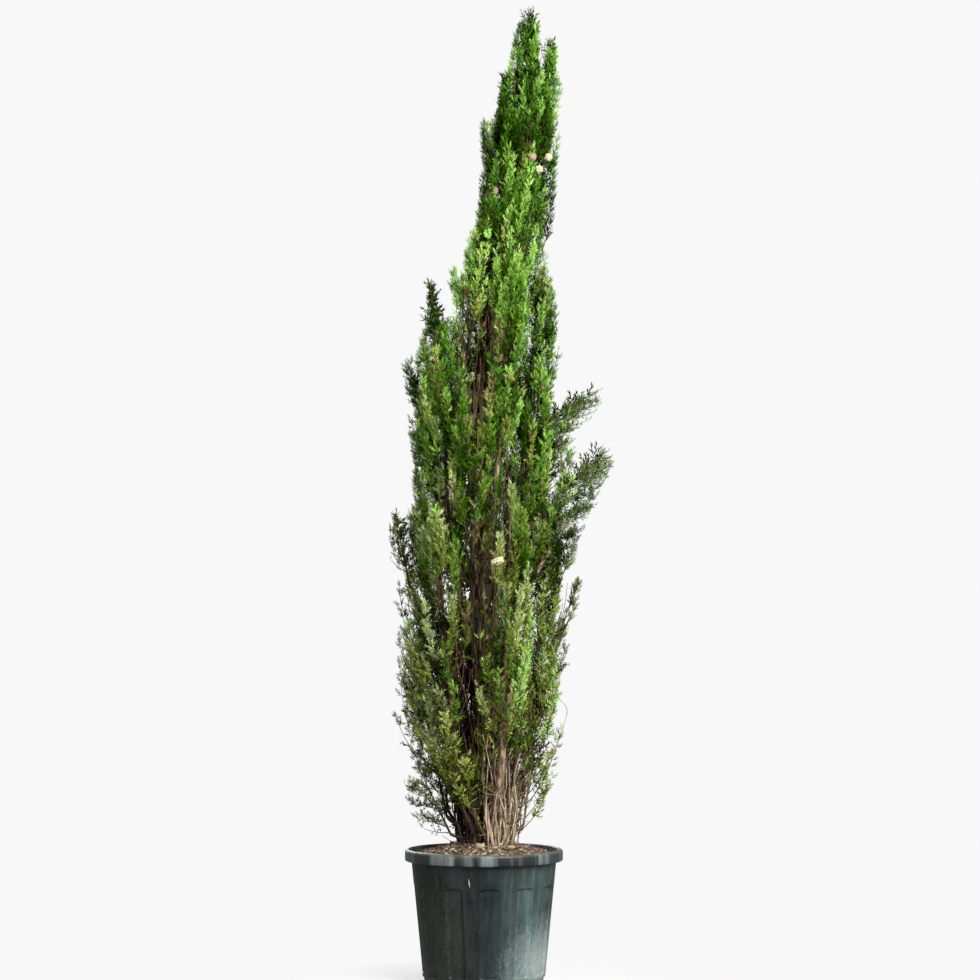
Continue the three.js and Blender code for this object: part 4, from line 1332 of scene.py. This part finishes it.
def grow_sprays(plume, shoot):
    """Sprays along a shoot: their roots, ways, lengths, families of greens, levels of shade, and which are
    fine."""
    length = np.linalg.norm(shoot["bend"] - shoot["root"]) + np.linalg.norm(shoot["end"] - shoot["bend"])
    count = max(SPRAY_ROW["fewest"], int(length * (1 - SPRAY_ROW["start"]) / plume["gap"]))
    ways = np.sort(random.uniform(SPRAY_ROW["start"], 1, count))
    ways[-1] = 1
    roots = shoot_points(shoot, ways)
    steps = SPRAY_ROW["steps"]
    along = unit(np.gradient(shoot_points(shoot, np.linspace(0, 1, steps + 1)), axis=0))
    along = along[np.round(ways * steps).astype(int)]
    ways_out = spray_ways(along, plume["wild"])
    taper = SPRAY_ROW["foot"] - SPRAY_ROW["taper"] * ways
    lengths = plume["spray"] * random.uniform(*SPRAY_ROW["lengths"], count) * taper
    if "tuft" not in shoot:
        lengths = keep_in_reach(plume, roots, ways_out, lengths)
    mixed_in = random.choice(len(plume["tints"]), count, p=list(plume["tints"].values()))
    tints = np.array([TINT_NUMBERS[name] for name in plume["tints"]])[mixed_in]
    own, lift = shoot_tint(plume, shoot["end"])
    tints[random.uniform(size=count) < OWN_TINT] = TINT_NUMBERS[own]
    dead = np.interp(roots[:, 2], DEAD_SHARE["heights"], DEAD_SHARE["shares"])
    for brown in BROWN_SPOTS:
        dead = np.where(in_oval(brown, roots), brown["share"], dead)
    tints[random.uniform(size=count) < dead] = TINT_NUMBERS["dead"]
    own_level = LEVEL["middle"] + lift + random.normal(0, LEVEL["by_shoot"])
    # darker at a shoot's foot and lighter towards its end: painted shade and painted light
    levels = own_level + LEVEL["along"] * (ways - LEVEL["even"])
    levels = levels + random.normal(0, LEVEL["by_spray"], count)
    tips = roots + ways_out * lengths[:, None]
    kept = is_clear(roots, tips) if "tuft" in shoot else is_shown(plume, roots, tips)
    fine = (ways > FINE_FROM) | (tints == TINT_NUMBERS["dead"])
    return [part[kept] for part in (roots, ways_out, lengths, tints, levels, fine)]


def spray_ways(along, wild):
    """Ways of sprays that leave a twig a fixed turn apart, lean out and up. The last goes straight on."""
    turns = np.radians(np.arange(len(along)) * TURN_OF_LEAVES)
    first = unit(np.cross(along, OFF_TWIGS))
    second = np.cross(along, first)
    out = np.cos(turns)[:, None] * first + np.sin(turns)[:, None] * second
    out[-1] = 0
    ways_out = SPRAY_LAY["along"] * along + SPRAY_LAY["out"] * out + SPRAY_LAY["up"] * np.array([0, 0, 1])
    return unit(ways_out + random.normal(0, wild, along.shape))


def plume_place(plume, spots):
    """Where points lie in a plume: shares of its length, and offsets from its axis."""
    from_foot = spots - plume["foot"]
    rises = from_foot @ plume["axis"]
    shares = rises / plume["length"]
    return shares, from_foot - rises[:, None] * plume["axis"] - bow_at(plume, np.clip(shares, 0, 1))


def keep_in_reach(plume, roots, ways_out, lengths):
    """Shortens the sprays whose tips would leave the plume's space."""
    shares, offsets = plume_place(plume, roots + ways_out * lengths[:, None])
    limit = REACH_OVER["share"] * plume["spread"] * space_radius(plume, shares) + REACH_OVER["margin"]
    over = (np.linalg.norm(offsets, axis=1) > limit) | (shares > 1)
    return np.where(over, lengths * REACH_OVER["shrink"], lengths)


def is_shown(plume, roots, tips):
    """Leaves out most sprays that face the trunk, and those in the crown's openings or out of its reach."""
    _, offsets = plume_place(plume, roots)
    facing = offsets @ sideways(plume["turn"]) / plume["radius"]
    inside = (facing < INSIDE["share"]) & (plume["foot_ring"] > 0)
    kept = ~inside | (random.uniform(size=len(roots)) < INSIDE["keep"])
    return kept & is_clear(roots, tips)


def is_clear(roots, tips):
    """Which sprays stand outside the crown's openings, above the soil and within the plant's box."""
    low, high = np.array(CAD_BOX)
    kept = roots[:, 2] > SOIL_TOP + SOIL_CLEAR
    kept &= np.all((tips > low - BOX_OVER) & (tips < high + BOX_OVER), axis=1)
    for window in WINDOWS:
        opened = in_oval(window, roots)
        kept &= ~opened | (random.uniform(size=len(roots)) < window["keep"])
    return kept


def in_box(spot):
    """A point, moved into the plant's box with a little to spare."""
    low, high = np.array(CAD_BOX)
    return np.clip(spot, low - BOX_OVER, high + BOX_OVER)


def in_oval(oval, spots):
    """Which points lie in an upright oval, as seen from the front, and not too far back."""
    off_z = (spots[:, 2] - oval["z"]) / oval["half_z"]
    off_x = (spots[:, 0] - oval["x"] - oval.get("lean", 0) * off_z) / oval["half_x"]
    return (np.hypot(off_x, off_z) < 1) & (spots[:, 1] < oval.get("back", WINDOW_BACK))


def grow_wisps(plume):
    """Thin twigs that stand past a plume's foliage."""
    wisps = []
    for number in range(plume.get("wisps", 0)):
        root = in_plume(plume, WISP["foot"], WISP["reach"], number * TURN_OF_LEAVES)
        away = random.normal(0, WISP["aside"], 3) * np.array([1, 1, 0])
        end = in_box(plume["tip"] + away + plume["axis"] * random.uniform(-WISP["below"], WISP["above"]))
        bend = lerp(root, end, WISP["bend"]) + WISP["bow"] * away
        wisps.append(dict(root=root, bend=bend, end=end))
    return wisps


def wisp_sprays(wisp):
    """A few tiny withered sprays at the end of a wisp."""
    count = WISP["sprays"]
    roots = shoot_points(wisp, np.linspace(WISP["start"], 1, count))
    along = np.tile(unit(wisp["end"] - wisp["root"]), (count, 1))
    lengths = WISP["length"] * random.uniform(*WISP["lengths"], count)
    tints = np.full(count, TINT_NUMBERS["dull"])
    levels = np.full(count, LEVEL["middle"])
    return [roots, spray_ways(along, WISP["wild"]), lengths, tints, levels, np.zeros(count, dtype=bool)]


def place_sprays(kinds, roots, ways_out, lengths, tints, levels, fine):
    """All the sprays of a piece as points, triangles and shade numbers."""
    spots, faces, slots = [], [], []
    start = 0
    spin = random.normal(size=(len(roots), 3))
    first = unit(np.cross(ways_out, spin))
    second = np.cross(ways_out, first)
    which = np.arange(len(roots)) % SPRAY["kinds"] + np.where(fine, 0, SPRAY["kinds"])
    names = list(SHADES)
    shades = np.array([[names.index(shade) for shade in tint] for tint in TINTS.values()])
    for number, (points, corners, lifts) in enumerate(kinds):
        mine = which == number
        placed = (
            points[None, :, 0, None] * first[mine][:, None]
            + points[None, :, 1, None] * second[mine][:, None]
            + points[None, :, 2, None] * ways_out[mine][:, None])
        placed[:, :, 2] += SPRAY_LAY["curl"] * points[None, :, 2] ** 2
        placed = roots[mine][:, None] + lengths[mine][:, None, None] * placed
        firsts = start + np.arange(mine.sum()) * len(points)
        spots.append(placed.reshape(-1, 3))
        faces.append((corners[None] + firsts[:, None, None]).reshape(-1, 3))
        level = np.clip(np.round(levels[mine][:, None] + lifts[None]), 0, shades.shape[1] - 1).astype(int)
        slots.append(shades[tints[mine][:, None], level].ravel())
        start += placed.shape[0] * len(points)
    return np.concatenate(spots), np.concatenate(faces), np.concatenate(slots)


def make_foliage(plumes, routes, twigs, barks):
    """Grows every plume on to sprays, joined into pieces, and makes the twigs that carry them."""
    kinds = spray_kinds(FINE_SPRAY) + spray_kinds(PLAIN_SPRAY)
    greens = leaf_materials().values()
    shoots, stems, stem_slots = [], [], []
    for name, rows in FOLIAGE_PIECES.items():
        mine = [plume for plume in plumes if plume["row"] in rows]
        grown = []
        for plume in mine:
            own = grow_shoots(plume)
            wisps = grow_wisps(plume)
            shoots += own + wisps
            for spots, faces in plume_stems(plume):
                stems.append((spots, faces))
                # plume stems on the left take the darker bark, which is painted shade
                stem_slots.append(np.full(len(faces), is_on_shaded_side(plume)))
            grown += [grow_sprays(plume, shoot) for shoot in own] + [wisp_sprays(wisp) for wisp in wisps]
        piece = add_foliage(name, kinds, grown, greens)
        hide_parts(*[f"{plume['name']}_plume" for plume in mine])
    foot_ways = np.linspace(0, 1, FOOT_SPRAYS["points"])
    foot = [dict(points=shoot_points(twig, foot_ways)) for twig in twigs[::FOOT_SPRAYS["one_in"]]]
    grown = stem_sprays(routes["base"], BASE_STEMS, INNER_TINTS["foot"])
    grown += stem_sprays(routes["inner"], INNER_STEMS, INNER_TINTS["low"])
    grown += stem_sprays(foot, FOOT_SPRAYS, INNER_TINTS["foot"])
    for plume in plumes:
        chances = INNER_TINTS["high" if plume["foot"][2] > HIGH_CROWN else "low"]
        if plume["drop"]:
            rule = FAN_SPRAYS if plume.get("bow") else LIMB_SPRAYS
            grown += stem_sprays([dict(points=carrier_points(plume, STEM_TUBE["steps"]))], rule, chances)
        if not plume.get("open"):
            grown += stem_sprays([dict(points=stem_points(plume))], CORE_SPRAYS, chances)
    add_foliage("inner_foliage", kinds, grown, greens)
    add_twigs(shoots, barks)
    stem_barks = [barks["old"], barks["dark"]]
    add_limbs("plume_stems", stems, stem_barks, np.concatenate(stem_slots), sharp_ends=True)


def add_foliage(name, kinds, grown, greens):
    spots, faces, slots = place_sprays(kinds, *[np.concatenate(part) for part in zip(*grown)])
    return add_piece(name, mesh_from_arrays(name, spots, faces, slots), greens)


def add_twigs(shoots, barks):
    """The twigs that carry the sprays, mostly green in the upper crown, and the bare ones."""
    tube = unit_tube(TWIG["sides"], TWIG["steps"])
    parts, slots = [], []
    for shoot in shoots:
        parts.append(twig_tube(tube, shoot, TWIG["foot"]))
        green = random.uniform() < np.interp(shoot["root"][2], GREEN_TWIGS["heights"], GREEN_TWIGS["shares"])
        slots.append(np.full(len(tube[1]), int(green)))
    for twig in BARE_TWIGS:
        ends = {end: np.array(spot) for end, spot in twig.items()}
        parts.append(twig_tube(tube, ends, FOOT_TWIGS["radius"]))
        slots.append(np.zeros(len(tube[1])))
    add_limbs("twigs", parts, [barks["young"], barks["green"]], np.concatenate(slots))


def twig_tube(tube, shoot, radius):
    points = shoot_points(shoot, np.linspace(0, 1, TWIG["steps"] + 1))
    return along_path(tube, points, np.linspace(radius, TWIG["tip"], len(points)))


def stem_points(plume):
    """The middle of a plume's stem."""
    ways = np.linspace(0, STEM_SHARE, STEM_TUBE["steps"] + 1)
    return plume["foot"] + np.outer(ways * plume["length"], plume["axis"]) + bow_at(plume, ways)


def plume_stems(plume):
    """A plume's stem, and the limb that carries it where that is no bough."""
    steps = STEM_TUBE["steps"]
    tube = unit_tube(BOUGH["sides"] if plume.get("bough") else STEM_TUBE["sides"], steps)
    limb = limb_radii(plume, steps)
    parts = [rough_limb(tube, stem_points(plume), np.linspace(limb[-1], TWIG["tip"], steps + 1))]
    if plume["drop"] and not plume.get("bough"):
        parts.append(along_path(tube, carrier_points(plume, steps), limb))
    return parts


def cone_materials():
    """Ripe cones, woody and weathered: mottled shields with dark grooves between them."""
    made = [new_material("cone_groove", "#4a3226", roughness=0.85, shine=0.25)]
    for name, (dark, pale) in CONE_COLOURS.items():
        material = new_material(name, pale, roughness=0.75, shine=0.3)
        tree = material.node_tree
        place = add_node(tree, "TexCoord", output="Object")
        mottle = grain_pattern(tree, place, [CONE["grain"]] * 3, detail=4)
        feed(tree, "Base Color", add_node(tree, "Mix", {0: mottle, 6: dark, 7: pale}, **COLOUR_MIX))
        made.append(material)
    return made


def make_cones(plumes):
    """Ripe cones of a few shield-like scales, with grooves between them and a boss on each."""
    by_name = {plume["name"]: plume for plume in plumes}
    scales = bmesh.new()
    bmesh.ops.create_icosphere(scales, subdivisions=1, radius=1)
    shields = [vert.co.normalized() for vert in scales.verts]
    scales.free()
    parts, slots = [], []
    for number, cone in enumerate(CONES):
        form = bmesh.new()
        bmesh.ops.create_icosphere(form, subdivisions=4, radius=1)
        grooves = []
        for vert in form.verts:
            near = sorted(vert.co.angle(shield) for shield in shields)
            groove = min((near[1] - near[0]) / CONE["edge"], 1)
            grooves.append(groove)
            boss = CONE["boss_height"] * max(0, 1 - near[0] / CONE["boss"])
            shift = Vector((number * CONE["lump_step"], 0, 0))
            lump = 1 + CONE["lump"] * noise.noise(vert.co * CONE["lump_pitch"] + shift)
            vert.co *= CONE["radius"] * lump * (1 - CONE["groove"] * (1 - groove) + boss)
        turn = Matrix.Rotation(number * CONE["turn_step"], 3, CONE["turn_axis"])
        bmesh.ops.rotate(form, verts=form.verts, cent=(0, 0, 0), matrix=turn)
        bmesh.ops.scale(form, verts=form.verts, vec=cone.get("size", (1, 1, 1)))
        tilt = Matrix.Rotation(math.radians(cone.get("tilt", 0)), 3, "Y")
        bmesh.ops.rotate(form, verts=form.verts, cent=(0, 0, 0), matrix=tilt)
        reach = cone.get("reach", CONE["reach"])
        spot = in_plume(by_name[cone["plume"]], cone["share"], reach, cone["turn"])
        bmesh.ops.translate(form, verts=form.verts, vec=spot)
        spots, faces = form_arrays(form)
        parts.append((spots, faces))
        sunk = np.array(grooves)[faces].max(axis=1) < CONE["sunk"]
        slots.append(np.where(sunk, 0, 1 + list(CONE_COLOURS).index(cone["colour"])))
    mesh = mesh_from_arrays("cones", *joined(parts), np.concatenate(slots))
    mesh.shade_smooth()
    add_piece("cones", mesh, cone_materials())


# The stage


def make_floor():
    """A pale floor that fades into the pale surroundings."""
    form = bmesh.new()
    bmesh.ops.create_circle(
        form, cap_ends=True, segments=STAGE_FLOOR["sides"], radius=STAGE_FLOOR["radius"])
    floor = bpy.data.objects.new("floor", mesh_from_form("floor", form, False))
    bpy.context.scene.collection.objects.link(floor)
    material = new_material("pale_floor", "#d2d2d1", roughness=0.9, shine=0.1)
    tree = material.node_tree
    place = add_node(tree, "TexCoord", output="Object")
    fade = spot_share(tree, place, (0, 0, 0), [STAGE_FLOOR["fade"]] * 3)
    share = add_node(tree, "MapRange", dict(enumerate([fade, *STAGE_FLOOR["shown"]])))
    clear = add_node(tree, "BsdfTransparent")
    pale = tree.nodes["Principled BSDF"].outputs[0]
    shown = add_node(tree, "MixShader", {0: share, 1: clear, 2: pale})
    tree.links.new(shown, tree.nodes["Material Output"].inputs["Surface"])
    floor.data.materials.append(material)


def add_softbox(name, place, aim, width, height, power):
    light = bpy.data.lights.new(name, "AREA")
    light.shape = "RECTANGLE"
    light.size = width
    light.size_y = height
    light.energy = power
    lamp = bpy.data.objects.new(name, light)
    lamp.location = place
    lamp.rotation_euler = (Vector(aim) - Vector(place)).to_track_quat("-Z", "Y").to_euler()
    bpy.context.scene.collection.objects.link(lamp)


def make_lights():
    world = bpy.data.worlds.new("pale_studio")
    world.use_nodes = True
    tree = world.node_tree
    back = tree.nodes["Background"]
    back.inputs["Color"].default_value = linear("#f8f8f8")
    seen = add_node(tree, "LightPath", output="Is Camera Ray")
    strength = add_node(tree, "MapRange", {0: seen, 3: AMBIENT, 4: 1})
    tree.links.new(strength, back.inputs["Strength"])
    bpy.context.scene.world = world
    for name, softbox in SOFTBOXES.items():
        add_softbox(name, **softbox)
    bpy.context.scene.view_settings.view_transform = "Standard"


def make_camera():
    lens = bpy.data.cameras.new("camera")
    camera = bpy.data.objects.new("camera", lens)
    aim = Vector((VIEW["middle_x"], 0, VIEW["middle_z"]))
    camera.location = (VIEW["middle_x"], -VIEW["distance"], VIEW["height"])
    way = aim - camera.location
    camera.rotation_euler = way.to_track_quat("-Z", "Y").to_euler()
    lens.sensor_width = VIEW["sensor_mm"]
    lens.lens = VIEW["sensor_mm"] * way.length / VIEW["span"]
    bpy.context.scene.collection.objects.link(camera)
    bpy.context.scene.camera = camera


def make_plant():
    plumes = lay_out_plumes()
    barks = {kind: bark_material(**colours) for kind, colours in BARKS.items()}
    make_trunk(barks["old"])
    make_boughs(plumes, barks)
    routes = dict(base=base_routes(), inner=inner_routes())
    twigs = foot_twigs(routes["base"])
    make_thin_stems(routes["base"] + routes["inner"], twigs, [barks[name] for name in STEM_BARKS])
    make_foliage(plumes, routes, twigs, barks)
    make_cones(plumes)


make_camera()
make_lights()
make_floor()
make_pot()
make_soil()
make_plant()
